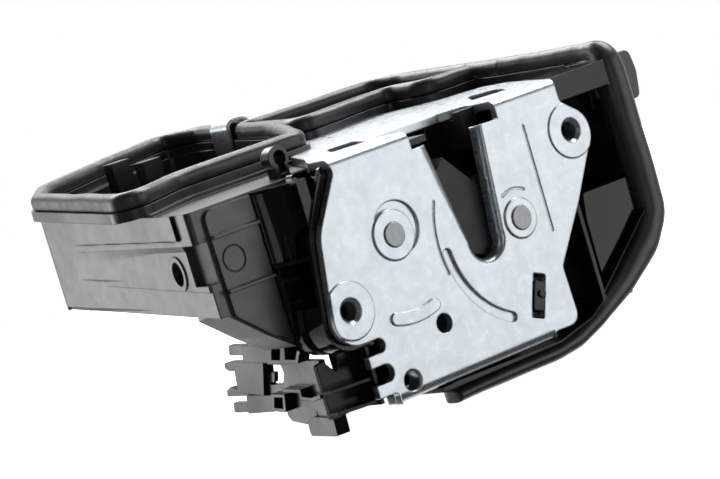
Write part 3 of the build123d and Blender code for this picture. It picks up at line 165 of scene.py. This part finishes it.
def floor_material():
    """Pale and matt. To the camera it also glows, so that only the object's shadow is darker than white."""
    material = bpy.data.materials.new("floor_white")
    tree, out = tree_of(material)
    path = add(tree, "ShaderNodeLightPath")
    matt = add(tree, "ShaderNodeBsdfDiffuse", Color=(FLOOR_PALE, FLOOR_PALE, FLOOR_PALE, 1.0))
    glow = add(tree, "ShaderNodeEmission", Color=(1, 1, 1, 1), Strength=FLOOR_GLOW)
    pale = add(tree, "ShaderNodeAddShader", i0=matt.outputs[0], i1=glow.outputs[0])
    mix = add(tree, "ShaderNodeMixShader", i0=path.outputs["Is Camera Ray"], i1=matt.outputs[0],
              i2=pale.outputs[0])
    tree.links.new(mix.outputs[0], out.inputs["Surface"])
    return material


floor_mesh = bpy.data.meshes.new("floor")
floor_mesh.from_pydata([(x, y, FLOOR_Z) for x, y in (
    (-FLOOR_HALF, -FLOOR_HALF), (FLOOR_HALF, -FLOOR_HALF),
    (FLOOR_HALF, FLOOR_HALF + FLOOR_BEHIND), (-FLOOR_HALF, FLOOR_HALF + FLOOR_BEHIND))], [], [(0, 1, 2, 3)])
floor = bpy.data.objects.new("floor", floor_mesh)
floor_mesh.materials.append(floor_material())
floor.visible_glossy = False        # metal and plastic mirror the room, also below the horizon
bpy.context.scene.collection.objects.link(floor)

# %% Hang the lamps
LAMPS = {                           # place and aim in metres, size in metres, power in watts
    "lamp_right": ((0.95, -1.15, 0.12), (0.0, 0.0, 0.0), (1.3, 1.2), 6.3),
    "lamp_high": ((0.73, 0.12, 0.94), (0.0, 0.08, 0.0), (0.8, 0.6), 11.0),
    "lamp_back": ((0.26, 1.0, 0.78), (0.0, 0.08, 0.0), (1.0, 0.4), 9.0),
    "lamp_left": ((-0.75, -1.35, 0.30), (0.0, 0.05, 0.0), (0.45, 0.9), 1.0),
    "lamp_far": ((-0.42, 1.10, 0.02), (-0.07, 0.07, 0.02), (0.5, 0.5), 1.6),
}
for name, (place, aim, size, power) in LAMPS.items():
    lamp = bpy.data.lights.new(name, "AREA")
    lamp.shape = "RECTANGLE"
    lamp.size, lamp.size_y = size
    lamp.energy = power
    holder = bpy.data.objects.new(name, lamp)
    turned = (Vector(aim) - Vector(place)).to_track_quat("-Z", "Y").to_matrix().to_4x4()
    holder.matrix_world = Matrix.Translation(place) @ turned        # the beam leaves along local -Z
    bpy.context.scene.collection.objects.link(holder)
bpy.context.scene.view_settings.view_transform = "Standard"
print("lamps:", len(LAMPS))

# %% [markdown]
# ## Effects that several finishes share
#
# Five small groups do the fine work. `mottle` gives slow cloudy patches, as on zinc plating. `grain`
# is the tiny pitting of a moulded or sheared surface, and `ripple` the slow waves of a moulded wall.
# `pit_shade` scatters the pinholes of foam, where black is painted as the shade inside them. `soft_edge`
# rounds sharp edges in the shading, so that they catch the light. Each one returns only a value, a mask or a
# normal.

# %% Effect groups
GRAIN_HIGH, RIPPLE_HIGH = 0.0001, 0.004     # metres from the bottom of a bump to its top
PIT_EDGE = (0.11, 0.15)                     # distances from a cell's centre, in cells


def group(name, inputs, outputs):
    """An empty shader group with (name, kind, default) sockets."""
    tree = bpy.data.node_groups.new(name, "ShaderNodeTree")
    for label, kind, value in inputs:
        socket = tree.interface.new_socket(label, in_out="INPUT", socket_type=kind)
        if value is not None:
            socket.default_value = value
    for label, kind in outputs:
        tree.interface.new_socket(label, in_out="OUTPUT", socket_type=kind)
    return tree, tree.nodes.new("NodeGroupInput"), tree.nodes.new("NodeGroupOutput")


def make_mottle():
    """Value = 0.5 + amount x (slow noise - 0.5), from object coordinates in metres."""
    tree, put, get = group("mottle", [("Size", "NodeSocketFloat", 120.0), ("Amount", "NodeSocketFloat", 0.5)],
                           [("Value", "NodeSocketFloat")])
    where = add(tree, "ShaderNodeTexCoord")
    noise = add(tree, "ShaderNodeTexNoise", Vector=where.outputs["Object"], Scale=put.outputs["Size"],
                Detail=5.0, Roughness=0.62)
    centred = add(tree, "ShaderNodeMath", operation="SUBTRACT", i0=noise.outputs["Fac"], i1=0.5)
    scaled = add(tree, "ShaderNodeMath", operation="MULTIPLY_ADD", i0=centred.outputs[0],
                 i1=put.outputs["Amount"], i2=0.5)
    tree.links.new(scaled.outputs[0], get.inputs["Value"])
    return tree


def make_bumps(name, detail, high):
    """Normal pushed by noise: height = high x depth x noise(size x position), in metres."""
    tree, put, get = group(name, [("Size", "NodeSocketFloat", 1000.0), ("Depth", "NodeSocketFloat", 0.3),
                                  ("Normal", "NodeSocketVector", None)], [("Normal", "NodeSocketVector")])
    where = add(tree, "ShaderNodeTexCoord")
    noise = add(tree, "ShaderNodeTexNoise", Vector=where.outputs["Object"], Scale=put.outputs["Size"],
                Detail=detail)
    bump = add(tree, "ShaderNodeBump", Strength=put.outputs["Depth"], Distance=high,
               Height=noise.outputs["Fac"], Normal=put.outputs["Normal"])
    tree.links.new(bump.outputs[0], get.inputs["Normal"])
    return tree


def make_pit_shade():
    """Mask = 1 in sparse pinholes, where the finish paints black as their shade: near the centre of every few
    cells of a Voronoi pattern.
    """
    tree, put, get = group("pit_shade", [("Size", "NodeSocketFloat", 300.0), ("Share", "NodeSocketFloat", 0.8)],
                           [("Mask", "NodeSocketFloat")])
    where = add(tree, "ShaderNodeTexCoord")
    cells = add(tree, "ShaderNodeTexVoronoi", Vector=where.outputs["Object"], Scale=put.outputs["Size"])
    near = ramp(tree, cells.outputs["Distance"], PIT_EDGE, (1.0, 0.0))
    chosen = add(tree, "ShaderNodeMath", operation="GREATER_THAN", i0=cells.outputs["Color"],
                 i1=put.outputs["Share"])
    both = add(tree, "ShaderNodeMath", operation="MULTIPLY", i0=near, i1=chosen.outputs[0])
    tree.links.new(both.outputs[0], get.inputs["Mask"])
    return tree


def make_soft_edge():
    """Normal of a surface whose edges are rounded to `Radius` metres."""
    tree, put, get = group("soft_edge", [("Radius", "NodeSocketFloat", 0.0003)],
                           [("Normal", "NodeSocketVector")])
    round_off = add(tree, "ShaderNodeBevel", samples=6, Radius=put.outputs["Radius"])
    tree.links.new(round_off.outputs[0], get.inputs["Normal"])
    return tree


effects = {"mottle": make_mottle(), "grain": make_bumps("grain", 2.0, GRAIN_HIGH),
           "ripple": make_bumps("ripple", 0.0, RIPPLE_HIGH), "pit_shade": make_pit_shade(),
           "soft_edge": make_soft_edge()}
print("effect groups:", ", ".join(effects))


def effect(tree, name, **values):
    """One of the shared effects, placed in a material's tree."""
    node = tree.nodes.new("ShaderNodeGroup")
    node.node_tree = effects[name]
    for label, value in values.items():
        if isinstance(value, bpy.types.NodeSocket):
            tree.links.new(value, node.inputs[label])
        else:
            node.inputs[label].default_value = value
    return node.outputs[0]


# %% [markdown]
# ## Finishes
#
# Every metal, plastic and foam follows one recipe: two close colours mixed by the mottle, a
# roughness that wanders a little, softened edges and fine grain, and for moulded walls a ripple.
# Only the numbers differ, and foam has its pinholes, painted black as the shade inside them.

# %% The recipe for a finish
PATCH_FINER = 3.1                   # roughness wanders in finer patches than colour
PATCH_SPAN = (0.2, 0.8)
PIT_SHADE = (0.0, 0.0, 0.0, 1.0)


def mixed(tree, share, first, second):
    """Colour = first (1 - share) + second share."""
    return add(tree, "ShaderNodeMix", data_type="RGBA", clamp_factor=True, i0=share, i6=first,
               i7=second).outputs[2]


def finish(name, dark, light, rough, metallic=0.0, clouds=140.0, spread=1.4, grain=2600.0, depth=0.15,
           edge=0.0003, specular=0.5, ripple=0.0, ripple_size=25.0, pit_shade=False):
    """colour = mix(dark, light, mottle), with black painted in the pinholes as their shade; roughness wanders
    from rough[0] to rough[1].

    `clouds`, `grain` and `ripple_size` are patterns per metre, `edge` is a radius in metres, and
    `spread`, `depth` and `ripple` are strengths."""
    material = bpy.data.materials.new(name)
    tree, out = tree_of(material)
    shade = mixed(tree, effect(tree, "mottle", Size=clouds, Amount=spread), (*dark, 1.0), (*light, 1.0))
    if pit_shade:
        # paint the pinholes black: painted shade inside each hole
        shade = mixed(tree, effect(tree, "pit_shade"), shade, PIT_SHADE)
    patch = effect(tree, "mottle", Size=clouds * PATCH_FINER, Amount=spread)
    dull = ramp(tree, patch, PATCH_SPAN, rough)
    normal = effect(tree, "soft_edge", Radius=edge)
    if ripple:
        normal = effect(tree, "ripple", Size=ripple_size, Depth=ripple, Normal=normal)
    normal = effect(tree, "grain", Size=grain, Depth=depth, Normal=normal)
    skin = add(tree, "ShaderNodeBsdfPrincipled", Base_Color=shade, Metallic=metallic, Roughness=dull,
               Specular_IOR_Level=specular, Normal=normal)
    tree.links.new(skin.outputs[0], out.inputs["Surface"])
    return material


# %% Mix the finishes
RECIPES = {
    # metals
    "zinc_plate": dict(dark=(0.56, 0.62, 0.67), light=(0.74, 0.785, 0.82), rough=(0.25, 0.34),
                       metallic=0.92, clouds=120, spread=1.6, grain=1400, depth=0.06, edge=0.0006),
    "zinc_dark": dict(dark=(0.40, 0.43, 0.46), light=(0.55, 0.58, 0.61), rough=(0.3, 0.5),
                      metallic=0.9, clouds=300),
    "rivet_steel": dict(dark=(0.36, 0.38, 0.39), light=(0.50, 0.52, 0.53), rough=(0.38, 0.5),
                        metallic=0.9, clouds=700),
    "fork_steel": dict(dark=(0.30, 0.31, 0.33), light=(0.45, 0.46, 0.48), rough=(0.3, 0.5),
                       metallic=0.95, clouds=250),
    "pawl_steel": dict(dark=(0.26, 0.27, 0.29), light=(0.40, 0.41, 0.43), rough=(0.3, 0.5),
                       metallic=0.95, clouds=250),
    "spring_wire": dict(dark=(0.30, 0.31, 0.33), light=(0.42, 0.43, 0.45), rough=(0.25, 0.4),
                        metallic=0.95),
    "lever_zinc": dict(dark=(0.42, 0.46, 0.50), light=(0.62, 0.66, 0.70), rough=(0.3, 0.45),
                       metallic=0.9, clouds=300),
    "motor_can": dict(dark=(0.42, 0.43, 0.45), light=(0.56, 0.57, 0.59), rough=(0.25, 0.4),
                      metallic=0.95),
    "tinned_brass": dict(dark=(0.55, 0.52, 0.44), light=(0.70, 0.67, 0.58), rough=(0.25, 0.4),
                         metallic=0.95),
    # black plastics, from the glossy carrier to the satin box, whose lighter copy of black satin is painted
    # light
    "black_gloss": dict(dark=(0.004, 0.004, 0.0044), light=(0.007, 0.007, 0.0078), rough=(0.08, 0.15),
                        clouds=60, grain=1500, depth=0.03, edge=0.0005, specular=0.45, ripple=0.9),
    "black_satin": dict(dark=(0.010, 0.010, 0.011), light=(0.016, 0.016, 0.0175), rough=(0.24, 0.34),
                        clouds=60, grain=2200, depth=0.07, edge=0.0004, specular=0.8, ripple=0.7),
    "arm_black": dict(dark=(0.005, 0.005, 0.0055), light=(0.009, 0.009, 0.01), rough=(0.2, 0.3),
                      clouds=60, grain=2200, depth=0.06, edge=0.0004, specular=0.35, ripple=0.9),
    # black satin with a lighter colour for the box: painted light, standing in for the backdrop that its
    # walls mirror
    "box_satin": dict(dark=(0.016, 0.016, 0.0175), light=(0.026, 0.026, 0.028), rough=(0.28, 0.38),
                      clouds=60, grain=2200, depth=0.06, edge=0.0004, specular=1.0, ripple=0.5),
    "black_skin": dict(dark=(0.012, 0.012, 0.014), light=(0.02, 0.02, 0.022), rough=(0.35, 0.5)),
    "black_rubber": dict(dark=(0.012, 0.012, 0.012), light=(0.02, 0.02, 0.02), rough=(0.5, 0.7)),
    # foam of the rim, and of the front
    # the foam's pinholes get painted black shade
    "foam": dict(dark=(0.024, 0.0245, 0.026), light=(0.042, 0.043, 0.045), rough=(0.3, 0.42),
                 clouds=260, spread=1.8, grain=1500, depth=0.2, edge=0.0006, specular=0.7,
                 ripple=0.08, ripple_size=160, pit_shade=True),
    "foam_face": dict(dark=(0.026, 0.027, 0.029), light=(0.05, 0.051, 0.054), rough=(0.75, 0.95),
                      clouds=900, spread=2.2, grain=2400, depth=0.9, edge=0.0006, specular=0.25),
    # the drive's gear, board and relay
    "natural_nylon": dict(dark=(0.70, 0.68, 0.62), light=(0.80, 0.78, 0.72), rough=(0.35, 0.5)),
    "board_green": dict(dark=(0.012, 0.10, 0.04), light=(0.02, 0.14, 0.06), rough=(0.25, 0.35)),
    "relay_case": dict(dark=(0.02, 0.02, 0.024), light=(0.03, 0.03, 0.034), rough=(0.3, 0.45)),
}
finishes = {name: finish(name, **recipe) for name, recipe in RECIPES.items()}
print("finishes:", len(finishes))

# %% Give each CAD node its finish
# the housing takes the lighter copy of black satin, whose extra lightness is painted light
OWN_FINISH = {"housing": "box_satin", "cable_bracket": "arm_black"}     # the others have their slot's
slot_of = {part["node"]: part["material_slot"] for part in frame["record"]["subparts"]}
for name, obj in nodes.items():
    obj.data.materials.clear()
    obj.data.materials.append(finishes[OWN_FINISH.get(name, slot_of[name])])
print("finished:", len(slot_of))

# %% [markdown]
# ## Foam seals
#
# Two seals keep water out: a D-shaped tube on the rim of the moulding, and a wider one on the
# front that presses against the door. On the real thing it is one soft extrusion that bends over
# the top corner. A profile carried along a path does this: arcs round each corner of the route, a
# D stands on the route, and slow waves keep the foam from looking turned on a lathe.

# %% Routes
RIM_SEAT, RIM_SLOPE = 0.0369, 0.0285    # height of the seat at y = 0, and its climb
SEAL_WIDE, SEAL_HIGH = 0.0052, 0.0050
ARC_POINTS = 17
STEP = 0.0007                           # metres between two rings of a tube


def route(corners):
    """Even points along a polyline whose corners are arcs, from (x, y, r) in millimetres.

    A corner is cut back r tan(turn / 2) on both runs. The arc's centre lies on the corner's
    bisector, r / cos(turn / 2) away, and its points are centre + r (cos a, sin a)."""
    table = np.array(corners, float) / 1000
    spot, radius = table[:, :2], table[:, 2]
    run = np.diff(spot, axis=0)
    run /= np.linalg.norm(run, axis=1)[:, None]
    into, away_from = run[:-1], run[1:]
    turn = np.arctan2(into[:, 0] * away_from[:, 1] - into[:, 1] * away_from[:, 0],
                      np.sum(into * away_from, axis=1))
    side = np.sign(turn + 1e-12)[:, None] * np.column_stack([-into[:, 1], into[:, 0]])
    start = spot[1:-1] - into * (radius[1:-1] * np.tan(np.abs(turn) / 2))[:, None]
    centre = start + side * radius[1:-1, None]
    first = np.arctan2(-side[:, 1], -side[:, 0])
    angle = first[:, None] + turn[:, None] * np.linspace(0, 1, ARC_POINTS)
    arcs = centre[:, None] + radius[1:-1, None, None] * np.stack([np.cos(angle), np.sin(angle)], axis=2)
    line = np.vstack([spot[:1], arcs.reshape(-1, 2), spot[-1:]])
    along = np.concatenate([[0], np.cumsum(np.linalg.norm(np.diff(line, axis=0), axis=1))])
    even = np.linspace(0, along[-1], int(along[-1] / STEP) + 2)
    return np.column_stack([np.interp(even, along, line[:, i]) for i in (0, 1)])


def on_seat(flat):
    """Points of the sloping seat above flat (x, y) points: z = seat + slope y."""
    return np.column_stack([flat, RIM_SEAT + RIM_SLOPE * flat[:, 1]])


def soften(values, width):
    """Running mean along the first axis, weighted by a bell of this width, with the ends held."""
    kernel = np.hanning(width + 2)[1:-1]
    kernel /= kernel.sum()
    padded = np.pad(values, [(width // 2, width // 2)] + [(0, 0)] * (values.ndim - 1), mode="edge")
    if values.ndim == 1:
        return np.convolve(padded, kernel, "valid")[:len(values)]
    return np.column_stack([np.convolve(column, kernel, "valid")[:len(values)] for column in padded.T])


def waves(count, seed, length=26):
    """Slow random waves from -1 to 1 along a route, `length` rings long; the seed fixes them."""
    rough = np.random.default_rng(seed).normal(size=count)
    slow = soften(rough, length)
    return slow / (np.abs(slow).max() + 1e-9)


# %% A profile carried along a route
AROUND = 28                             # points of the profile
ROUND_TOP, FLAT_FOOT = 2.1, 5.0         # powers of the D's two halves: 2 is a circle, more is squarer
SWELL_WIDE, SWELL_HIGH = 0.035, 0.045   # how much the waves widen and raise the tube, as a share
SWELL_WAVE, WANDER_WAVE = 38, 60        # rings in a wave
WANDER = 0.00018                        # how far the tube strays sideways, in metres
END_RINGS = 4
END_REACH = 0.18                        # length of a closed end, as a share of the tube's radius
END_TIP = 0.02                          # radius that is left at the tip, as a share
END_ROUND = 0.35                        # share of cos in how an end shrinks; the rest falls as 1 - t^3


def tube_grid(spine, high_side, wide, high, seed):
    """Grid of a D-shaped tube: point = spine + across * side + height * up.

    across = wide/2 sgn(cos a)|cos a|^(2/p), height = high/2 (1 + sgn(sin a)|sin a|^(2/p)), with
    p = ROUND_TOP over the top and FLAT_FOOT at the foot."""
    ahead = np.gradient(spine, axis=0)
    ahead /= np.linalg.norm(ahead, axis=1)[:, None]
    side = np.cross(high_side, ahead)
    side /= np.linalg.norm(side, axis=1)[:, None]
    raised = np.cross(ahead, side)
    angle = np.linspace(0, 2 * pi, AROUND, endpoint=False)
    power = np.where(np.sin(angle) > 0, 2 / ROUND_TOP, 2 / FLAT_FOOT)
    across = np.sign(np.cos(angle)) * np.abs(np.cos(angle)) ** power
    height = 0.5 + 0.5 * np.sign(np.sin(angle)) * np.abs(np.sin(angle)) ** power
    count = len(spine)
    wide = np.broadcast_to(wide, count) * (1 + SWELL_WIDE * waves(count, seed))
    high = np.broadcast_to(high, count) * (1 + SWELL_HIGH * waves(count, seed + 1, SWELL_WAVE))
    shift = WANDER * waves(count, seed + 2, WANDER_WAVE)
    u = wide[:, None] / 2 * across + shift[:, None]
    v = high[:, None] * height
    return spine[:, None] + u[:, :, None] * side[:, None] + v[:, :, None] * raised[:, None]


def close_ends(grid):
    """Adds shrinking rings at both ends, so a tube closes in a soft dome: t runs from 0 to a right angle."""
    turn = np.linspace(0, pi / 2, END_RINGS + 1)[1:]
    parts = []
    for end, beyond in ((0, 1), (-1, -2)):
        ring = grid[end]
        middle = ring.mean(axis=0)
        ahead = middle - grid[beyond].mean(axis=0)
        ahead /= np.linalg.norm(ahead)
        reach = END_REACH * np.linalg.norm(ring - middle, axis=1).mean()
        falling = 1 - (turn / (pi / 2)) ** 3
        shrink = np.maximum(np.cos(turn), END_TIP) * END_ROUND + (1 - END_ROUND) * falling
        shrink[-1] = END_TIP
        rings = middle + (ring - middle) * shrink[:, None, None]
        parts.append(rings + ahead * (reach * np.sin(turn))[:, None, None])
    return np.concatenate([parts[0][::-1], grid, parts[1]])


def grid_faces(rows, columns, offset):
    """Quads of a grid that wraps round in its second direction, and a face at each end."""
    row, column = np.meshgrid(np.arange(rows - 1), np.arange(columns), indexing="ij")
    after = (column + 1) % columns
    quads = np.stack([row * columns + column, row * columns + after, (row + 1) * columns + after,
                      (row + 1) * columns + column], axis=2).reshape(-1, 4) + offset
    first = list(range(offset + columns - 1, offset - 1, -1))
    last = list(range(offset + (rows - 1) * columns, offset + rows * columns))
    return quads.tolist() + [first, last]


# %% Pieces
CREASE = radians(35)                    # edges sharper than this stay sharp in the shading


def add_piece(name, points, faces, finish_name, body, node_slot, crease=None):
    """A piece from points in metres, with faces outward and a smooth skin, riding on its body."""
    mesh = bpy.data.meshes.new(name)
    mesh.from_pydata(points.tolist(), [], faces)
    shape = bmesh.new()
    shape.from_mesh(mesh)
    bmesh.ops.recalc_face_normals(shape, faces=shape.faces)
    shape.to_mesh(mesh)
    shape.free()
    mesh.polygons.foreach_set("use_smooth", np.ones(len(mesh.polygons), dtype=bool))
    if crease:
        mesh.set_sharp_from_angle(angle=crease)
    mesh.materials.append(finishes[finish_name])
    piece = bpy.data.objects.new(name, mesh)
    bpy.context.scene.collection.objects.link(piece)
    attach(piece, body)
    print(name, len(mesh.vertices), "points")
    return piece


# %% [markdown]
# ## The rim seal
#
# The rim seal runs once round the moulding and sends two strands across it. It starts at the front
# right corner, where it bends down over the edge and becomes the front seal, so these two are one
# piece of foam: its width grows from the rim's tube to the broad strip that meets the door.

# %% The rim's routes
RIM_LOOP = [(70.5, 57.0, 0), (74.5, 87.0, 14), (78.0, 117.0, 9), (74.5, 131.0, 7), (62.0, 131.8, 7),
            (24.0, 136.2, 4), (30.5, 171.0, 6), (24.0, 187.0, 6), (-17.0, 168.5, 14),
            (-46.0, 151.0, 10), (-60.5, 131.0, 12), (-85.5, 42.1, 4), (-60.0, 55.8, 14),
            (-14.0, 55.0, 4), (2.0, 84.0, 12), (14.0, 108.0, 14), (22.2, 134.6, 0)]
CROSS_STRAND = [(20.4, 129.0, 0), (15.5, 107.0, 8), (11.5, 88.0, 4), (24.0, 89.2, 6), (40.0, 92.5, 8),
                (51.0, 91.5, 5), (51.5, 74.0, 5), (69.6, 74.0, 0)]
CORNER_RUN = [(70.5, 59.0, 0), (70.0, 30.0, 20), (69.6, 14.6, 0)]
FINE = 7                                # rings over which a spine is softened
seat_up = np.array([0.0, -RIM_SLOPE, 1.0]) / hypot(1.0, RIM_SLOPE)


def rim_tube(corners, seed):
    """A closed tube of the rim's section on the sloping seat."""
    spine = on_seat(soften(route(corners), FINE))
    return close_ends(tube_grid(spine, np.broadcast_to(seat_up, spine.shape), SEAL_WIDE, SEAL_HIGH, seed))


# %% The corner and the front strip
FRONT_FOOT = 0.0113                     # the strip stands on this depth and rises toward the door
FRONT_HIGH = 0.0078
STRIP = [(69.3, 35.0, 0), (69.6, 0.0, 20), (69.4, -11.4, 9), (63.3, -19.2, 10), (50.0, -28.2, 30),
         (36.1, -34.7, 20), (27.0, -38.0, 12), (17.4, -39.3, 12), (2.0, -39.3, 30),
         (-13.0, -39.4, 30), (-22.0, -39.6, 0)]
STRIP_X = [-0.022, 0.017, 0.036, 0.050, 0.064]
STRIP_WIDE = [0.0040, 0.0050, 0.0060, 0.0074, 0.0088]      # narrows toward its end
BEND_POINTS = 9
SOFT_WIDTHS, SOFT_SIZES = 31, 15        # rings over which widths and section sizes blend


def corner_and_strip():
    """One spine: along the rim to the corner, a quarter turn down, then the strip's route."""
    rim = on_seat(route(CORNER_RUN))
    down = route(STRIP)
    strip = np.column_stack([down[:, 0], np.full(len(down), FRONT_FOOT), down[:, 1]])
    turn = np.linspace(0, pi / 2, BEND_POINTS)[1:-1]
    begin, end = rim[-1], strip[0]
    bend = np.column_stack([begin[0] + (end[0] - begin[0]) * turn / (pi / 2),
                            begin[1] + (end[1] - begin[1]) * np.sin(turn),
                            end[2] + (begin[2] - end[2]) * np.cos(turn)])
    spine = soften(np.vstack([rim, bend, strip]), FINE)
    over = soften(np.concatenate([np.zeros(len(rim)), turn / (pi / 2), np.ones(len(strip))]), FINE)
    toward_door = np.array([0.0, -1.0, 0.0])
    up = (1 - over)[:, None] * seat_up + over[:, None] * toward_door
    narrowing = soften(np.interp(strip[:, 0], STRIP_X, STRIP_WIDE), SOFT_WIDTHS)
    wide = soften(np.concatenate([np.full(len(rim), SEAL_WIDE),
                                  np.linspace(SEAL_WIDE, STRIP_WIDE[-1], len(turn)), narrowing]), SOFT_SIZES)
    high = soften(np.concatenate([np.full(len(rim), SEAL_HIGH),
                                  np.linspace(SEAL_HIGH, FRONT_HIGH, len(turn)),
                                  np.full(len(strip), FRONT_HIGH)]), SOFT_SIZES)
    return close_ends(tube_grid(spine, up, wide, high, 11))


# %% Build the seal
points, faces, offset = [], [], 0
for grid in (rim_tube(RIM_LOOP, 3), rim_tube(CROSS_STRAND, 7), corner_and_strip()):
    points.append(grid.reshape(-1, 3))
    faces += grid_faces(grid.shape[0], grid.shape[1], offset)
    offset += grid.shape[0] * grid.shape[1]
seal = add_piece("seal_foam", np.vstack(points), faces, "foam", "latch_body", "foam")
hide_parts("rim_seal", "face_seal")

# %% [markdown]
# ## The wall of the long box
#
# The wall that faces the camera isn't flat. A proud band along its top ends in a crease that fades
# out toward the far corner, and a second, softer crease runs below it. One thin skin over the wall
# has both: its depth is a function of the place along the wall, u, and the height, v.

# %% Skin of the wall
WALL_START, WALL_END = np.array([-85.2, 16.0]), np.array([-62.0, 131.0])    # millimetres, x and y
SKIN_FROM, SKIN_TO = 9.4, 117.9         # the skin's ends, along the wall
SKIN_ROWS, SKIN_COLUMNS = 260, 110
SKIN_PROUD, SKIN_THICK = 0.05, 0.3
FOOT_V, FOOT_RISE = 4.06, 0.04          # the underside's height at the wall's start, and its climb
HEAD_V = 33.75                          # the rim's height at y = 0
FOOT_ROUND, FOOT_TURN = 0.8, 1.2        # how deep and how high the lower edge turns in
FADE_AT, FADE_RUN = 98, 70              # the creases fade out at this u, over this run
BAND_PROUD, BAND_EDGE = 0.9, 0.15
CREASE_V, CREASE_RISE = 27.0, 0.0175
CREASE_DEEP, CREASE_RUN = 1.3, 6.0
LOWER_V, LOWER_RISE = 13.2, 0.053
LOWER_DEEP, LOWER_EDGE = 0.45, 0.7
BORE_U, BORE_V, BORE_INNER, BORE_OUTER = 19.0, 17.6, 4.3, 4.9
BORE_SINK = 6.0
CORNER_ROUND, CORNER_FROM = 8.0, 115.2


def smooth(low, high, value):
    """0 below low, 1 above high, t t (3 - 2 t) between."""
    t = np.clip((value - low) / (high - low), 0, 1)
    return t * t * (3 - 2 * t)


def wall_depth(u, v):
    """Depth in millimetres behind the wall's plane.

    With f = ((98 - u) / 70)^0.8, which fades the creases out, it is -0.9 f above the crease. Below
    it the wall falls 1.3 f in 6 mm, and another 0.45 f^0.5 under the lower crease. The skin leaves
    the bore's ring free, and turns in with the box's far corner: r - sqrt(r r - s s)."""
    fade = np.clip((FADE_AT - u) / FADE_RUN, 0, 1) ** 0.8
    crease = CREASE_V + CREASE_RISE * u
    lower = LOWER_V + LOWER_RISE * u
    depth = -BAND_PROUD * fade * smooth(-BAND_EDGE, BAND_EDGE, v - crease) - SKIN_PROUD
    depth += CREASE_DEEP * fade * smooth(0.0, CREASE_RUN, crease - BAND_EDGE - v)
    depth += LOWER_DEEP * fade ** 0.5 * smooth(0.0, LOWER_EDGE, lower - v)
    from_bore = np.hypot(u - BORE_U, v - BORE_V)
    depth += BORE_SINK * (1 - smooth(BORE_INNER, BORE_OUTER, from_bore))
    past = np.clip(u - CORNER_FROM, 0, CORNER_ROUND)
    return depth + CORNER_ROUND - np.sqrt(CORNER_ROUND ** 2 - past ** 2)


def shell_faces(rows, columns):
    """Quads of a thin closed shell: a front grid, the same grid behind it, and the border between."""
    row, column = np.meshgrid(np.arange(rows - 1), np.arange(columns - 1), indexing="ij")
    first = (row * columns + column).ravel()
    quads = np.column_stack([first, first + 1, first + columns + 1, first + columns])
    ring = np.concatenate([np.arange(columns - 1), np.arange(columns - 1, rows * columns - 1, columns),
                           np.arange(rows * columns - 1, (rows - 1) * columns, -1),
                           np.arange((rows - 1) * columns, 0, -columns)])
    after = np.roll(ring, -1)
    behind = rows * columns
    border = np.column_stack([ring, ring + behind, after + behind, after])
    return np.vstack([quads, quads[:, ::-1] + behind, border]).tolist()


def wall_skin():
    """Grid points = start + u ahead + v up - depth outward, with u along the wall and v its height."""
    ahead = (WALL_END - WALL_START) / np.linalg.norm(WALL_END - WALL_START)
    outward = np.array([-ahead[1], ahead[0]])
    u = np.linspace(SKIN_FROM, SKIN_TO, SKIN_ROWS)[:, None] * np.ones(SKIN_COLUMNS)
    y = WALL_START[1] + u * ahead[1]
    foot = FOOT_V + FOOT_RISE * (y - WALL_START[1])
    head = HEAD_V + RIM_SLOPE * y
    v = foot + (head - foot) * np.linspace(0, 1, SKIN_COLUMNS)
    depth = wall_depth(u, v) + FOOT_ROUND * (1 - smooth(0.0, FOOT_TURN, v - foot))
    layers = []
    for sink in (0.0, SKIN_THICK):
        flat = WALL_START + u[..., None] * ahead - (depth + sink)[..., None] * outward
        layers.append(np.concatenate([flat, v[..., None]], axis=2).reshape(-1, 3) / 1000)
    return np.vstack(layers), shell_faces(SKIN_ROWS, SKIN_COLUMNS)


# the skin takes the lighter copy of black satin: its extra lightness is painted light
add_piece("box_wall", *wall_skin(), "box_satin", "latch_body", "black_satin", crease=CREASE)

# %% [markdown]
# ## Two small things beside the outside lever
#
# The lever's lug is closed where it stands out past the seal, and a screen closes the lever's
# window in the moulding, so no daylight shows between the tray and the seal.

# %% Plug and screen
LUG_X, LUG_Z, LUG_R = 79.4, 27.6, 1.75                  # the lug's hole, in millimetres
LUG_Y = (11.95, 14.65)
SCREEN_LOW, SCREEN_HIGH = (65.6, 15.4, 23.0), (71.2, 16.4, 31.5)
PLUG_SIDES = 40


def block(low, high):
    """Points and faces of a box between two corners, from millimetres."""
    corner = np.array([low, high]) / 1000
    points = [(corner[i][0], corner[j][1], corner[k][2]) for i in (0, 1) for j in (0, 1) for k in (0, 1)]
    faces = [(0, 1, 3, 2), (4, 6, 7, 5), (0, 4, 5, 1), (2, 3, 7, 6), (0, 2, 6, 4), (1, 5, 7, 3)]
    return np.array(points), faces


def plug(x, z, radius, y_from, y_to):
    """Points and faces of a short cylinder along y: points = centre + radius (cos a, sin a)."""
    angle = np.linspace(0, 2 * pi, PLUG_SIDES, endpoint=False)
    circle = np.column_stack([x + radius * np.cos(angle), np.zeros(PLUG_SIDES), z + radius * np.sin(angle)])
    points = np.vstack([circle + [0, y_from, 0], circle + [0, y_to, 0]]) / 1000
    ring = np.arange(PLUG_SIDES)
    after = (ring + 1) % PLUG_SIDES
    faces = np.column_stack([ring, after, after + PLUG_SIDES, ring + PLUG_SIDES]).tolist()
    return points, faces + [ring.tolist(), (ring[::-1] + PLUG_SIDES).tolist()]


add_piece("lug_plug", *plug(LUG_X, LUG_Z, LUG_R, *LUG_Y), "black_satin", "outside_lever", "black_satin",
          crease=CREASE)
add_piece("lever_screen", *block(SCREEN_LOW, SCREEN_HIGH), "black_satin", "latch_body", "black_satin",
          crease=CREASE)
